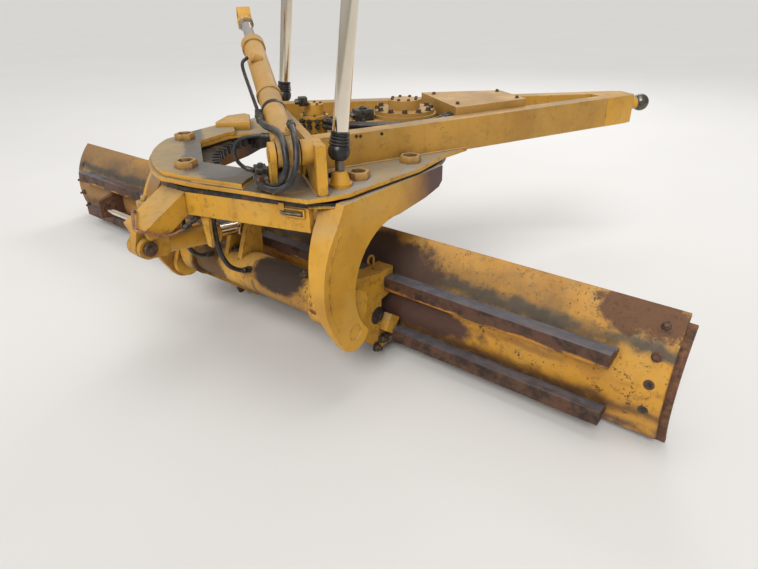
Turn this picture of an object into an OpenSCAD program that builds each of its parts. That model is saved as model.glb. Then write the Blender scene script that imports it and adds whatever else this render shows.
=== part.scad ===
// Blade group of a motor grader: drawbar, circle and moldboard with their cylinders.
// Origin at the centre of the drawbar ball, +X forward, +Y to the machine's left, +Z up.

/* [Drawbar] */
// Distance from the drawbar ball back to the circle's centre
circle_back = 1799; // [1760:1:1840]
// Height of the rails' top faces over the ball
rail_top = 57; // [50:1:64]
// Height of the box rails
rail_h = 146; // [140:1:152]
// Width of each box rail
rail_w = 76; // [70:1:82]
// Wall of the box rails
rail_wall = 12; // [8:1:16]
// Half width over the rails, extrapolated to the ball
rail_spread = 48; // [44:1:52]
// Angle of each rail to the drawbar's centre line
rail_angle = 11.9; // [11.6:0.1:12.2]
// Radius of the drawbar ball
ball_r = 45; // [38:1:50]
// Thickness of the yoke's deck
deck_t = 18; // [16:1:20]
// Thickness of the second plate over the yoke's rear
rear_plate_t = 20; // [14:1:24]
// Radius of the yoke's rounded rear edge
yoke_r = 803; // [795:1:815]
// Step from the deck's edge in to the rear plate's edge
deck_step = 14; // [10:1:20]

/* [Circle] */
// Turn of the circle, with the blade, from straight across
blade_angle = 34.24; // [30:0.01:38]
// Outer radius of the circle
circle_r = 590; // [585:1:595]
// Thickness of the circle's flange
flange_t = 20; // [16:1:24]
// Teeth on the circle
circle_teeth = 64; // [64:1:64]
// Teeth on the drive pinion
pinion_teeth = 13; // [13:1:13]
// Height of the circle's teeth
tooth_h = 40; // [36:1:44]
// Thickness of the blade arms
arm_t = 40; // [30:1:42]
// Radius of the pivot pins in the arms' lower ends
pivot_r = 35; // [30:1:40]

/* [Moldboard] */
// Length of the moldboard
blade_len = 4270; // [4200:10:4330]
// Radius of the moldboard's back
blade_back_r = 435; // [432:1:438]
// Thickness of the moldboard
blade_t = 22; // [18:1:24]
// Side shift of the moldboard to the left
blade_shift = 427; // [400:1:440]
// Thickness of the cutting edge
edge_t = 19; // [16:1:20]
// Depth of the slide rails
rail_bar_d = 50; // [44:1:54]
// Height of the slide rails
rail_bar_h = 64; // [58:1:66]

/* [Cylinders] */
// Radius of the lift cylinders' rods
lift_rod_r = 30; // [26:1:32]
// Radius of the lift cylinders' barrels
lift_barrel_r = 57; // [52:1:62]
// Length of the lift cylinders' barrels
lift_barrel_len = 1240; // [1230:5:1260]
// Length of lift rod that shows between the ball and the barrel
lift_out = 570; // [560:1:580]
// Forward lean of the lift cylinders
lift_lean = 7; // [5:0.5:9]
// Radius of the centre shift cylinder's barrel
shift_barrel_r = 45; // [40:1:50]
// Rise of the centre shift cylinder over level
shift_rise = 19.5; // [18:0.5:21]
// Radius of the tip cylinder's barrel
tip_barrel_r = 45; // [40:1:48]
// Radius of the side shift cylinder's barrel
side_barrel_r = 42; // [38:1:44]
// Radius of the side shift rod
side_rod_r = 22; // [18:1:26]

/* [Hidden] */

paint = "goldenrod";
paint_dark = "darkgoldenrod";
rust = "saddlebrown";
steel = "silver";
grease = "dimgray";
rubber = "black";
round_fn = 64;
eps = 0.1;

// Running clearance of pins, rods and pistons in their bores
fit = 0.05;
// Gap between moving pieces that pass each other
pass = 5;
// Gap at a curved seat between pieces of one body
seat = 0.3;

// Drawbar
deck_top = rail_top + 10 - rail_h;
rail_bottom = rail_top - rail_h;
deck_bottom = deck_top - deck_t;
head_back = 300;
head_front = 95;
rail_end = 2000;
circle_x = -circle_back;
function half_w(back) = rail_spread + back * tan(rail_angle);

// Circle
ring_top = deck_bottom - 11;
ring_bottom = ring_top - flange_t;
tooth_bottom = ring_top - tooth_h;
circle_pitch_r = circle_r - 78;
pinion_pitch_r = circle_pitch_r * pinion_teeth / circle_teeth;
pinion_offset = circle_pitch_r - pinion_pitch_r;
tooth_tip = 13;
tooth_root = 18;
shoe_lip = 18;
arm_out = circle_r + 18;
arm_in = arm_out - arm_t;
shoe_web_r = circle_pitch_r - tooth_tip - pass - 4;
shoe_lip_r = circle_pitch_r + tooth_root - 2;
gear_shaft_r = 42;
gear_box_r = 157;
gear_box_top = 62;

// Blade arms and tilt pivot in the circle's side view: u forward, z up
pivot = [-505, -665];
pivot_boss_r = 74;
tube_axis = [-459, -597];
pivot_tube_r = 90;
lobe_r = 88;
arm_outer = [-264, -440];
arm_outer_r = 410;
arm_inner = [-232, -505];
arm_inner_r = 265;
tail_far = 300;
beam_near = [-602, 488];
beam_apex_u = -759;
beam_apex_v0 = 67;
beam_apex_v1 = 213;
beam_low = -225;
beam_wall = 25;

// Moldboard in the same side view
blade_back_u = -92;
curl = [blade_back_u + blade_back_r, -760];
blade_front_r = blade_back_r - blade_t;
top_angle = 133;
plate_low_angle = 208;
edge_high_angle = 196;
edge_low_angle = 215;
rail_back_u = blade_back_u - 68;
rail_gap = 1;
rail_neck_h = 30;
bit_w = 152;
upper_rail_z = -622;
lower_rail_z = -883;
jaw_in = 400;
jaw_t = 90;
side_axis = [-217, -763];
side_barrel_from = -480;
side_barrel_to = 820;
side_bracket_v = 1930;
side_bracket_t = 30;

// Tip cylinder, from its pin on the circle to its pin on the tilt frame
knuckle = [-935, -325];
tip_pin = [-420, -400];
tip_v = 140;
tip_len = norm(tip_pin - knuckle);
tip_angle = atan2(tip_pin[1] - knuckle[1], tip_pin[0] - knuckle[0]);
tip_drift = 13;

// Lift cylinders
lift_x = -1880;
lift_y = 661;
lift_z = 54;
lift_ball_r = 30;
lift_socket_r = 40;
lift_rod_len = 1220;
lift_trunnion_s = 500;

// Centre shift cylinder
shift_pin = [-2075, -690, 70];
shift_barrel_len = 885;
shift_rod_out = 300;
shift_piston = shift_barrel_len - 445;

function arc(c, r, a0, a1, n = 12) =
    [for (i = [0:n]) let (a = a0 + (a1 - a0) * i / n) [c[0] + r * cos(a), c[1] + r * sin(a)]];
function mirrored(pts) =
    concat(pts, [for (i = [len(pts) - 1:-1:0]) [pts[i][0], -pts[i][1]]]);

// Puts children into the turned circle: u forward, v left along the blade
module in_circle() {
    translate([circle_x, 0, 0]) rotate([0, 0, blade_angle]) children();
}

// Extrudes a side view (u, z) along the blade from v0 to v1
module along_blade(v0, v1) {
    translate([0, v1, 0]) rotate([90, 0, 0]) linear_extrude(v1 - v0) children();
}

// A cylinder along the blade through a point of the side view
module bar_v(p, r, v0, v1, fn = round_fn) {
    translate([p[0], v1, p[1]]) rotate([90, 0, 0]) cylinder(r = r, h = v1 - v0, $fn = fn);
}

// Plan of one rail, from the head back to its end
module rail_plan(inset) {
    cross_w = rail_w / cos(rail_angle);
    in = inset / cos(rail_angle);
    polygon([[-head_back, half_w(head_back) - in], [-rail_end, half_w(rail_end) - in],
        [-rail_end, half_w(rail_end) - cross_w + in], [-head_back, half_w(head_back) - cross_w + in]]);
}

module rail(side) {
    color(paint) scale([1, side, 1]) translate([0, 0, rail_bottom]) difference() {
        linear_extrude(rail_top - rail_bottom) rail_plan(0);
        translate([0, 0, rail_wall]) linear_extrude(rail_top - rail_bottom - 2 * rail_wall) rail_plan(rail_wall);
    }
}

module drawbar_head() {
    neck_r = 32;
    color(paint) difference() {
        union() {
            translate([0, 0, rail_bottom]) linear_extrude(rail_top - rail_bottom)
                polygon(mirrored([[-head_back, half_w(head_back)], [-head_front - 50, half_w(head_front + 50)],
                    [-head_front, half_w(head_front) - 10]]));
            translate([-head_front - 1, 0, 0]) rotate([0, 90, 0]) cylinder(r = neck_r + 14, h = 16, $fn = round_fn);
            translate([-head_front, 0, 0]) rotate([0, 90, 0]) cylinder(r = neck_r, h = head_front, $fn = round_fn);
        }
        sphere(r = ball_r - 1, $fn = round_fn);
    }
    color(steel) sphere(r = ball_r, $fn = round_fn);
}

// Outline of the yoke: rear arc, lift ball corners, and the front between the rails
yoke_side = [[-2430, 428], [-2287, 552], [-2035, 782], [-1950, 779], [-1870, 762], [-1798, 716], [-1620, 608],
    [-1511, 543], [-1398, 443], [-1322, 374], [-1180, 290]];
yoke_rear = arc([circle_x, 0], yoke_r, 180, 158, 8);
yoke_opening = mirrored([[-2370, 200], [-2230, 342], [-2120, 375], [-2040, 330], [-2010, 200]]);

module yoke_deck() {
    color(paint) difference() {
        translate([0, 0, deck_bottom]) linear_extrude(deck_t) polygon(mirrored(concat(yoke_rear, yoke_side)));
        translate([0, 0, deck_bottom - eps]) linear_extrude(deck_t + 2 * eps) polygon(yoke_opening);
        for (side = [1, -1]) scale([1, side, 1]) translate([0, 0, rail_bottom]) linear_extrude(rail_h) rail_plan(0);
        translate([circle_x + pinion_offset, 0, deck_bottom - eps])
            cylinder(r = gear_shaft_r + pass, h = deck_t + 2 * eps, $fn = round_fn);
    }
}

// Second plate over the rear of the deck, cut off square near the centre shift bracket
module yoke_rear_plate() {
    rear = arc([circle_x, 0], yoke_r - deck_step, 180, 158, 8);
    side = [[-2423, 416], [-2280, 542], [-2242, 578], [-2222, 530], [-2190, 480]];
    color(paint) translate([0, 0, deck_top]) difference() {
        linear_extrude(rear_plate_t) polygon(mirrored(concat(rear, side)));
        translate([0, 0, -eps]) linear_extrude(rear_plate_t + 2 * eps) polygon(yoke_opening);
    }
}

// Angles of the six shoes round the circle, from straight ahead
shoe_angles = [57, 88, 118, -57, -88, -118];
// Bolted plates on the deck: angle and distance from the circle's centre
cap_places = [[57, 520, 0], [89, 590, 0], [158, 690, 1], [-57, 520, 0], [-89, 590, 0], [-158, 690, 1]];
shoe_w = 150;
shoe_cap_r = 66;
shoe_cap_h = 30;

module circle_shoes() {
    lip_z = tooth_bottom - 0.3;
    color(grease) for (a = shoe_angles) translate([circle_x, 0, 0]) rotate([0, 0, a]) intersection() {
        translate([0, -shoe_w / 2, lip_z - shoe_lip - eps]) cube([circle_r, shoe_w, 300]);
        difference() {
            translate([0, 0, lip_z - shoe_lip])
                cylinder(r = shoe_lip_r, h = deck_bottom - lip_z + shoe_lip, $fn = 120);
            translate([0, 0, lip_z - shoe_lip - eps]) cylinder(r = shoe_web_r - 35, h = 200, $fn = 120);
            translate([0, 0, lip_z]) difference() {
                cylinder(r = circle_r, h = 200, $fn = 120);
                translate([0, 0, -eps]) cylinder(r = shoe_web_r, h = 201, $fn = 120);
            }
        }
    }
}

module shoe_caps() {
    color(paint) for (place = cap_places) translate([circle_x, 0, deck_top + place[2] * rear_plate_t])
        rotate([0, 0, place[0]]) translate([place[1], 0, 0]) {
            cylinder(r = shoe_cap_r, h = shoe_cap_h, $fn = 6);
            cylinder(r = 22, h = shoe_cap_h + 16, $fn = 6);
            cylinder(r = 13, h = shoe_cap_h + 28, $fn = 24);
        }
}

module shift_bracket() {
    post_h = 104 - deck_top;
    color(paint) difference() {
        union() {
            // Post in front of the cylinder, and the brace that runs left from it
            translate([-1988, -765, deck_top]) cube([38, 110, post_h]);
            translate([-1988 + 38, 0, 0]) rotate([90, 0, -90]) linear_extrude(38)
                polygon([[655, deck_top], [655, 104], [620, 100], [468, 20], [468, deck_top], [500, deck_top],
                    [560, -20], [610, deck_top]]);
            translate([-2030, shift_pin[1], shift_pin[2]]) rotate([0, 90, 0]) cylinder(r = 45, h = 43, $fn = round_fn);
            // Rear cheek of the cylinder's pin
            translate([-2120, 0, 0]) rotate([90, 0, -90]) linear_extrude(22)
                polygon([[625, deck_top], [682, deck_top], [734, shift_pin[2] - 5], [646, shift_pin[2] - 5]]);
            translate([-2142, shift_pin[1], shift_pin[2]]) rotate([0, 90, 0]) cylinder(r = 45, h = 22, $fn = round_fn);
        }
        translate([-2200, shift_pin[1], shift_pin[2]]) rotate([0, 90, 0]) cylinder(r = 25, h = 300, $fn = round_fn);
    }
    color(steel) translate([-2147, shift_pin[1], shift_pin[2]]) rotate([0, 90, 0])
        cylinder(r = 25, h = 202, $fn = round_fn);
}

module ball_stud(side) {
    stud_r = 18;
    base_h = 60;
    color(paint) translate([lift_x, side * lift_y, deck_top]) {
        cylinder(r = 46, h = 14, $fn = round_fn);
        cylinder(r1 = 44, r2 = 26, h = base_h, $fn = round_fn);
    }
    color(steel) translate([lift_x, side * lift_y, 0]) {
        translate([0, 0, deck_top]) cylinder(r = stud_r, h = lift_z - deck_top, $fn = round_fn);
        translate([0, 0, lift_z]) sphere(r = lift_ball_r, $fn = round_fn);
    }
}

module circle_gearbox() {
    color(paint) difference() {
        translate([circle_x + pinion_offset, 0, deck_top]) {
            cylinder(r = gear_box_r, h = gear_box_top - deck_top - 18, $fn = 96);
            cylinder(r = gear_box_r + 10, h = 16, $fn = 96);
            translate([0, 0, gear_box_top - deck_top - 18]) cylinder(r = gear_box_r - 12, h = 18, $fn = 96);
            translate([0, 0, gear_box_top - deck_top]) cylinder(r = 76, h = 44, $fn = 96);
            translate([-250, -90, 0]) cube([170, 180, gear_box_top - deck_top - 34]);
        }
        translate([circle_x + pinion_offset, 0, deck_top - eps])
            cylinder(r = gear_shaft_r + fit, h = 80, $fn = round_fn);
    }
}

module drive_motor() {
    color(paint_dark) translate([circle_x + pinion_offset - 250, 0, -15]) rotate([0, -90, 0]) {
        cylinder(r = 62, h = 20, $fn = round_fn);
        cylinder(r = 50, h = 94, $fn = round_fn);
    }
}

module swivel() {
    color(paint) translate([circle_x - 31, 45, deck_top]) {
        cylinder(r = 80, h = 20, $fn = round_fn);
        cylinder(r = 58, h = 120, $fn = round_fn);
        translate([0, 0, 120]) cylinder(r = 66, h = 14, $fn = round_fn);
        translate([0, 0, 134]) cylinder(r = 45, h = 50, $fn = round_fn);
    }
}

module hose_cover() {
    color(paint) translate([0, 0, rail_top - 60]) linear_extrude(95)
        polygon(mirrored([for (back = [1215, 800]) [-back, half_w(back) - rail_w / cos(rail_angle)]]));
}

module teeth(count, r_from, r_to, w_from, w_to, phase) {
    for (i = [0:count - 1]) rotate([0, 0, phase + i * 360 / count])
        polygon([[r_from, -w_from / 2], [r_to, -w_to / 2], [r_to, w_to / 2], [r_from, w_from / 2]]);
}

frame_v = arm_in - seat;
frame_side = [[0, frame_v], [-545, frame_v], [beam_near[0], beam_near[1]], [beam_apex_u, -beam_apex_v0]];
frame_back = [[beam_apex_u, beam_apex_v1], [beam_near[0], beam_near[1]], [-545, frame_v], [0, frame_v]];

module circle_ring() {
    root_r = circle_pitch_r + tooth_root;
    tip_r = circle_pitch_r - tooth_tip;
    pitch_angle = 360 / circle_teeth;
    color(grease) in_circle() {
        difference() {
            union() {
                translate([0, 0, ring_bottom]) cylinder(r = circle_r, h = flange_t, $fn = 180);
                // Frame plate between the arms and the rear beam
                translate([0, 0, ring_bottom]) linear_extrude(flange_t)
                    polygon([for (side = [-1, 1]) for (p = side < 0 ? frame_side : frame_back) [p[0], side * p[1]]]);
            }
            translate([0, 0, ring_bottom - eps]) cylinder(r = root_r, h = flange_t + 2 * eps, $fn = 180);
        }
        translate([0, 0, tooth_bottom]) linear_extrude(tooth_h)
            teeth(circle_teeth, tip_r, root_r + 1, 12, 28.5, pitch_angle / 2 - blade_angle);
    }
}

module pinion() {
    tip_r = pinion_pitch_r + 12;
    root_r = pinion_pitch_r - 17;
    color(grease) translate([circle_x + pinion_offset, 0, 0]) {
        translate([0, 0, tooth_bottom + 2]) linear_extrude(tooth_h - 4) {
            circle(r = root_r, $fn = 60);
            teeth(pinion_teeth, root_r - 6, tip_r, 31, 12, 0);
        }
        translate([0, 0, tooth_bottom + 2]) cylinder(r = gear_shaft_r, h = deck_top + 70 - tooth_bottom, $fn = round_fn);
    }
}

// Side view of a blade arm
module arm_side() {
    tail_u = 112;
    polygon(concat([[tail_u, ring_top], [-541, ring_top]],
        arc(arm_outer, arm_outer_r, 140, 212, 14),
        arc(pivot, lobe_r, 200, 345, 10),
        arc(arm_inner, arm_inner_r, 222, 84, 16),
        [[-15, ring_bottom - 94], [tail_u - 25, ring_bottom - 72], [tail_u, ring_bottom - 48]]));
}

module arm(side) {
    web_t = 25;
    web_v = beam_near[1] + seat;
    web_low = -590;
    color(paint) in_circle() scale([1, side, 1]) difference() {
        union() {
            along_blade(arm_in, arm_out) arm_side();
            // Curved web along the rear edge, narrowing downwards
            intersection() {
                along_blade(web_v, arm_in + eps) difference() {
                    arm_side();
                    polygon(concat([[tail_far, 0], [-541 + web_t, 0], [-541 + web_t, ring_top]],
                        arc(arm_outer, arm_outer_r - web_t, 140, 212, 14), [[-400, -800], [tail_far, -800]]));
                }
                translate([-800, 0, 0]) rotate([90, 0, 90]) linear_extrude(600)
                    polygon([[web_v, ring_bottom - seat], [arm_in + 1, ring_bottom - seat], [arm_in + 1, web_low],
                        [arm_in - 6, web_low]]);
            }
        }
        bar_v(pivot, pivot_r + fit, arm_in - 60, arm_out + 1);
        // Seat of the circle's flange in the arm
        translate([0, 0, ring_bottom - seat]) cylinder(r = circle_r + seat, h = 100, $fn = 180);
    }
}

// Rear beam under the circle, from arm to arm round the tip bracket
module rear_beam() {
    outer = [[beam_near[0], -beam_near[1]], [beam_apex_u, beam_apex_v0], [beam_apex_u, beam_apex_v1],
        [beam_near[0], beam_near[1]]];
    function band(w) = concat(outer, [for (i = [3:-1:0]) [outer[i][0] + w, outer[i][1]]]);
    color(paint) in_circle() {
        translate([0, 0, beam_low]) linear_extrude(ring_bottom - beam_low) polygon(band(beam_wall));
        translate([0, 0, beam_low]) linear_extrude(16) polygon(band(95));
    }
}

module tip_bracket() {
    plate_t = 28;
    cheek = [[beam_apex_u, ring_bottom - 2], [-955, -235], [-940, -280], [-845, -275], [beam_apex_u, beam_low]];
    color(paint) in_circle() {
        for (v = [beam_apex_v0 - 7, beam_apex_v1 - 21]) along_blade(v, v + plate_t) polygon(cheek);
        // Roof between the cheeks, and the tongue that carries the cylinder's pin
        along_blade(beam_apex_v0 + 20, beam_apex_v1 - 20)
            polygon([[beam_apex_u, ring_bottom - 2], [-955, -235], [-948, -258], [beam_apex_u, ring_bottom - 30]]);
        difference() {
            along_blade(tip_v - 21, tip_v + 21) polygon(concat(arc(knuckle, 46, 180, 360, 12),
                [[knuckle[0] + 34, knuckle[1] + 58], [-866, -250], [-900, -225], [-958, -235]]));
            bar_v(knuckle, 24, tip_v - 60, tip_v + 60);
        }
    }
    color(steel) in_circle() bar_v(knuckle, 24, tip_v - 52, tip_v + 52);
}

// The tilt frame turns on pins in the arms' lower ends
module pivot_tube() {
    tube_end = arm_in - pass;
    plate_t = 30;
    side_ang = atan2(tube_axis[1] - pivot[1], tube_axis[0] - pivot[0]);
    lean = asin((pivot_tube_r - pivot_boss_r) / norm(tube_axis - pivot));
    color(paint) in_circle() difference() {
        union() {
            bar_v(tube_axis, pivot_tube_r, -tube_end, tube_end, 96);
            // End plates that carry the tube over its pins
            for (side = [-1, 1]) scale([1, side, 1]) {
                bar_v(pivot, pivot_r, tube_end - plate_t, arm_out - 4);
                bar_v(pivot, pivot_boss_r, tube_end - plate_t, tube_end, 96);
                along_blade(tube_end - plate_t, tube_end) polygon([
                    for (k = [[pivot, pivot_boss_r, -1], [tube_axis, pivot_tube_r, -1], [tube_axis, pivot_tube_r, 1],
                        [pivot, pivot_boss_r, 1]]) k[0] + k[1] * [cos(side_ang + k[2] * (90 + lean)),
                        sin(side_ang + k[2] * (90 + lean))]]);
            }
        }
        bar_v(tube_axis, pivot_tube_r - 20, -tube_end + plate_t, tube_end - plate_t, 96);
    }
}

// Bracket from the pivot tube to the moldboard's two slide rails, which it holds in T slots
module slide_bracket(side) {
    back = rail_back_u - rail_gap;
    hook_back = rail_back_u + rail_bar_d + rail_gap;
    hook_front = hook_back + 14;
    wall = 38;
    jaw_half = rail_bar_h / 2 + wall;
    v0 = jaw_in - 1;
    v1 = jaw_in + jaw_t + 1;
    module t_slot(z) {
        translate([back, z - rail_bar_h / 2 - rail_gap]) square([hook_back - back, rail_bar_h + 2 * rail_gap]);
        translate([back, z - rail_neck_h / 2 - pass]) square([hook_front + 1 - back, rail_neck_h + 2 * pass]);
    }
    color(paint) in_circle() scale([1, side, 1]) difference() {
        along_blade(jaw_in, jaw_in + jaw_t) polygon(concat(arc(tube_axis, pivot_tube_r + 22, 100, 250, 10),
            [[back - wall, lower_rail_z - jaw_half], [hook_front, lower_rail_z - jaw_half],
            [hook_front, lower_rail_z + jaw_half - 14], [back - wall + 14, lower_rail_z + jaw_half],
            [back - wall + 14, upper_rail_z - jaw_half], [hook_front, upper_rail_z - jaw_half + 14],
            [hook_front, upper_rail_z + jaw_half], [back - wall, upper_rail_z + jaw_half]]));
        along_blade(v0, v1) t_slot(upper_rail_z);
        along_blade(v0, v1) t_slot(lower_rail_z);
        bar_v(tube_axis, pivot_tube_r + seat, v0, v1, 96);
        bar_v(side_axis, side_barrel_r + seat, v0, v1);
    }
}

module tip_ears() {
    ear_t = 28;
    color(paint) in_circle() {
        for (v = [tip_v - 35 - ear_t, tip_v + 35]) difference() {
            along_blade(v, v + ear_t) polygon(concat(arc(tip_pin, 44, -10, 150, 10),
                arc(tube_axis, pivot_tube_r - 8, 140, 20, 10)));
            bar_v(tube_axis, pivot_tube_r + seat, v - 1, v + ear_t + 1, 96);
            bar_v(tip_pin, 22, v - 1, v + ear_t + 1);
        }
    }
    color(steel) in_circle() bar_v(tip_pin, 22, tip_v - 35 - ear_t - 10, tip_v + 35 + ear_t + 10);
}

module side_barrel() {
    color(paint) in_circle() difference() {
        union() {
            bar_v(side_axis, side_barrel_r, side_barrel_from, side_barrel_to);
            bar_v(side_axis, side_barrel_r + 8, side_barrel_to - 50, side_barrel_to);
        }
        bar_v(side_axis, side_barrel_r - 9, side_barrel_from + 20, side_barrel_to - 60);
        bar_v(side_axis, side_rod_r + fit, side_barrel_to - 61, side_barrel_to + 1);
    }
}

module on_blade() {
    in_circle() translate([0, blade_shift, 0]) children();
}

// A curved band of the moldboard between two radii and two angles about the centre of its curl
module curl_band(r_in, r_out, a0, a1, v0, v1) {
    far = 2 * blade_back_r;
    mid = (a0 + a1) / 2;
    intersection() {
        difference() {
            bar_v(curl, r_out, v0, v1, 180);
            bar_v(curl, r_in, v0 - 1, v1 + 1, 180);
        }
        along_blade(v0, v1) polygon([curl, curl + far * [cos(a0), sin(a0)], curl + far * [cos(mid), sin(mid)] * 1.6,
            curl + far * [cos(a1), sin(a1)]]);
    }
}

half_blade = blade_len / 2;

module moldboard() {
    color(paint) on_blade()
        curl_band(blade_front_r, blade_back_r, top_angle, plate_low_angle, -half_blade, half_blade);
}

// Slide rail: a bar stood off the back by a narrower neck
module slide_rail(z) {
    rail_half = half_blade - 189;
    back_u = curl[0] - sqrt(pow(blade_back_r, 2) - pow(z - curl[1], 2));
    color(rust) difference() {
        on_blade() along_blade(-rail_half, rail_half) {
            translate([rail_back_u, z - rail_bar_h / 2]) square([rail_bar_d, rail_bar_h]);
            translate([rail_back_u + rail_bar_d - 1, z - rail_neck_h / 2])
                square([back_u + 12 - rail_back_u - rail_bar_d, rail_neck_h]);
        }
        on_blade() bar_v(curl, blade_back_r + seat, -half_blade, half_blade, 180);
    }
}

module cutting_edge() {
    color(grease) on_blade() curl_band(blade_front_r - edge_t, blade_front_r - seat, edge_high_angle, edge_low_angle,
        -half_blade + bit_w + 1, half_blade - bit_w - 1);
}

module end_bit(side) {
    bit_over = 30;
    v0 = side > 0 ? half_blade - bit_w : -half_blade - bit_over;
    color(rust) on_blade() curl_band(blade_front_r - edge_t, blade_front_r - seat,
        side > 0 ? edge_high_angle : top_angle + 4, edge_low_angle, v0, v0 + bit_w + bit_over);
}

module side_rod_bracket() {
    color(rust) in_circle() difference() {
        along_blade(side_bracket_v, side_bracket_v + side_bracket_t)
            polygon([[-265, -700], [-265, -815], [-150, -840], [-88, -840], [-88, -665], [-150, -665]]);
        bar_v(side_axis, side_rod_r + seat, side_bracket_v - 1, side_bracket_v + side_bracket_t + 1);
        bar_v(curl, blade_back_r + seat, side_bracket_v - 1, side_bracket_v + side_bracket_t + 1, 180);
    }
}

module side_rod() {
    color(steel) in_circle() {
        bar_v(side_axis, side_rod_r, side_barrel_to - 149, side_bracket_v + side_bracket_t + 20);
        bar_v(side_axis, side_barrel_r - 9 - fit, side_barrel_to - 180, side_barrel_to - 148);
    }
}

// Frame of a cylinder: its local X runs from the base pin to the rod's eye
module at_tip() {
    in_circle() translate([knuckle[0], tip_v, knuckle[1]]) rotate([0, -tip_angle, 0]) children();
}

module rod_x(r, x0, x1, fn = round_fn) {
    translate([x0, 0, 0]) rotate([0, 90, 0]) cylinder(r = r, h = x1 - x0, $fn = fn);
}

tip_gland = 350;

module tip_barrel() {
    fork_w = 94;
    color(paint) at_tip() difference() {
        union() {
            rod_x(tip_barrel_r, 70, tip_gland);
            rod_x(tip_barrel_r + 6, tip_gland - 45, tip_gland);
            translate([0, -fork_w / 2, 0]) rotate([-90, 0, 0]) cylinder(r = 44, h = fork_w, $fn = round_fn);
            translate([0, -fork_w / 2, -42]) cube([90, fork_w, 84]);
        }
        translate([-60, -23, -60]) cube([118, 46, 120]);
        translate([0, -fork_w, 0]) rotate([-90, 0, 0]) cylinder(r = 24 + fit, h = 2 * fork_w, $fn = round_fn);
        rod_x(tip_barrel_r - 9, 90, tip_gland - 30);
        rod_x(28 + fit, tip_gland - 31, tip_gland + 1);
    }
}

module tip_rod() {
    color(steel) at_tip() difference() {
        union() {
            rod_x(28, 150, tip_len - 20);
            rod_x(tip_barrel_r - 9 - fit, 144, 160);
            translate([tip_len, -30, 0]) rotate([-90, 0, 0]) cylinder(r = 58, h = 60, $fn = round_fn);
        }
        translate([tip_len, -31, 0]) rotate([-90, 0, 0]) cylinder(r = 22 + tip_drift, h = 62, $fn = round_fn);
    }
}

// Frame of a lift cylinder: its local Z runs up the rod from the ball
module at_lift(side) {
    translate([lift_x, side * lift_y, lift_z]) rotate([0, lift_lean, 0]) children();
}

module lift_rod(side) {
    neck_top = 52;
    color(steel) at_lift(side) difference() {
        union() {
            sphere(r = lift_socket_r, $fn = round_fn);
            translate([0, 0, 20]) cylinder(r = lift_rod_r, h = lift_rod_len - 20, $fn = round_fn);
            translate([0, 0, lift_rod_len - 40]) cylinder(r = lift_barrel_r - 11 - fit, h = 40, $fn = round_fn);
        }
        sphere(r = lift_ball_r + fit, $fn = round_fn);
        rotate([180, 0, 0]) cylinder(r1 = 8, r2 = neck_top, h = 46, $fn = round_fn);
    }
}

module lift_boot(side) {
    color(rubber) at_lift(side) difference() {
        union() {
            sphere(r = lift_socket_r + 6, $fn = round_fn);
            translate([0, 0, 20]) cylinder(r1 = 40, r2 = lift_rod_r + 6, h = 62, $fn = round_fn);
        }
        sphere(r = lift_socket_r + seat, $fn = round_fn);
        translate([0, 0, 10]) cylinder(r = lift_rod_r + seat, h = 100, $fn = round_fn);
        translate([0, 0, -60]) cylinder(r = 70, h = 44, $fn = round_fn);
    }
}

module lift_barrel(side) {
    bore = lift_barrel_r - 11;
    color(paint) at_lift(side) translate([0, 0, lift_out]) difference() {
        union() {
            cylinder(r = lift_barrel_r, h = lift_barrel_len, $fn = round_fn);
            cylinder(r = lift_barrel_r + 8, h = 60, $fn = round_fn);
            translate([0, 0, lift_barrel_len - 30]) cylinder(r = lift_barrel_r + 4, h = 30, $fn = round_fn);
            translate([0, 0, lift_trunnion_s - 45]) cylinder(r = lift_barrel_r + 14, h = 90, $fn = round_fn);
            translate([-lift_barrel_r - 18, 0, lift_trunnion_s]) rotate([0, 90, 0])
                cylinder(r = 42, h = 2 * lift_barrel_r + 36, $fn = round_fn);
            translate([-lift_barrel_r - 60, 0, lift_trunnion_s]) rotate([0, 90, 0])
                cylinder(r = 30, h = 2 * lift_barrel_r + 120, $fn = round_fn);
        }
        translate([0, 0, 50]) cylinder(r = bore, h = lift_barrel_len - 80, $fn = round_fn);
        translate([0, 0, -1]) cylinder(r = lift_rod_r + fit, h = 52, $fn = round_fn);
    }
}

// Frame of the centre shift cylinder: local X from its base pin to the rod's eye
module at_shift() {
    translate(shift_pin) rotate([0, 0, 90]) rotate([0, -shift_rise, 0]) children();
}

module shift_barrel() {
    bore = shift_barrel_r - 9;
    color(paint) at_shift() difference() {
        union() {
            rod_x(shift_barrel_r, 50, shift_barrel_len);
            rod_x(shift_barrel_r + 7, shift_barrel_len - 50, shift_barrel_len);
            rod_x(shift_barrel_r + 6, shift_piston - 40, shift_piston - 22);
            translate([0, -40, 0]) rotate([-90, 0, 0]) cylinder(r = 46, h = 80, $fn = round_fn);
            translate([0, -36, -40]) cube([70, 72, 80]);
        }
        translate([0, -60, 0]) rotate([-90, 0, 0]) cylinder(r = 25 + fit, h = 120, $fn = round_fn);
        rod_x(bore, 80, shift_barrel_len - 40);
        rod_x(25 + fit, shift_barrel_len - 41, shift_barrel_len + 1);
    }
}

module shift_rod() {
    eye_x = shift_barrel_len + shift_rod_out;
    color(steel) at_shift() {
        rod_x(25, shift_piston + 30, eye_x - 30);
        rod_x(shift_barrel_r - 9 - fit, shift_piston, shift_piston + 35);
    }
    color(paint) at_shift() difference() {
        union() {
            translate([eye_x, -30, 0]) rotate([-90, 0, 0]) cylinder(r = 50, h = 60, $fn = round_fn);
            rod_x(36, eye_x - 80, eye_x - 30);
        }
        translate([eye_x, -31, 0]) rotate([-90, 0, 0]) cylinder(r = 28, h = 62, $fn = round_fn);
    }
}

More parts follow.
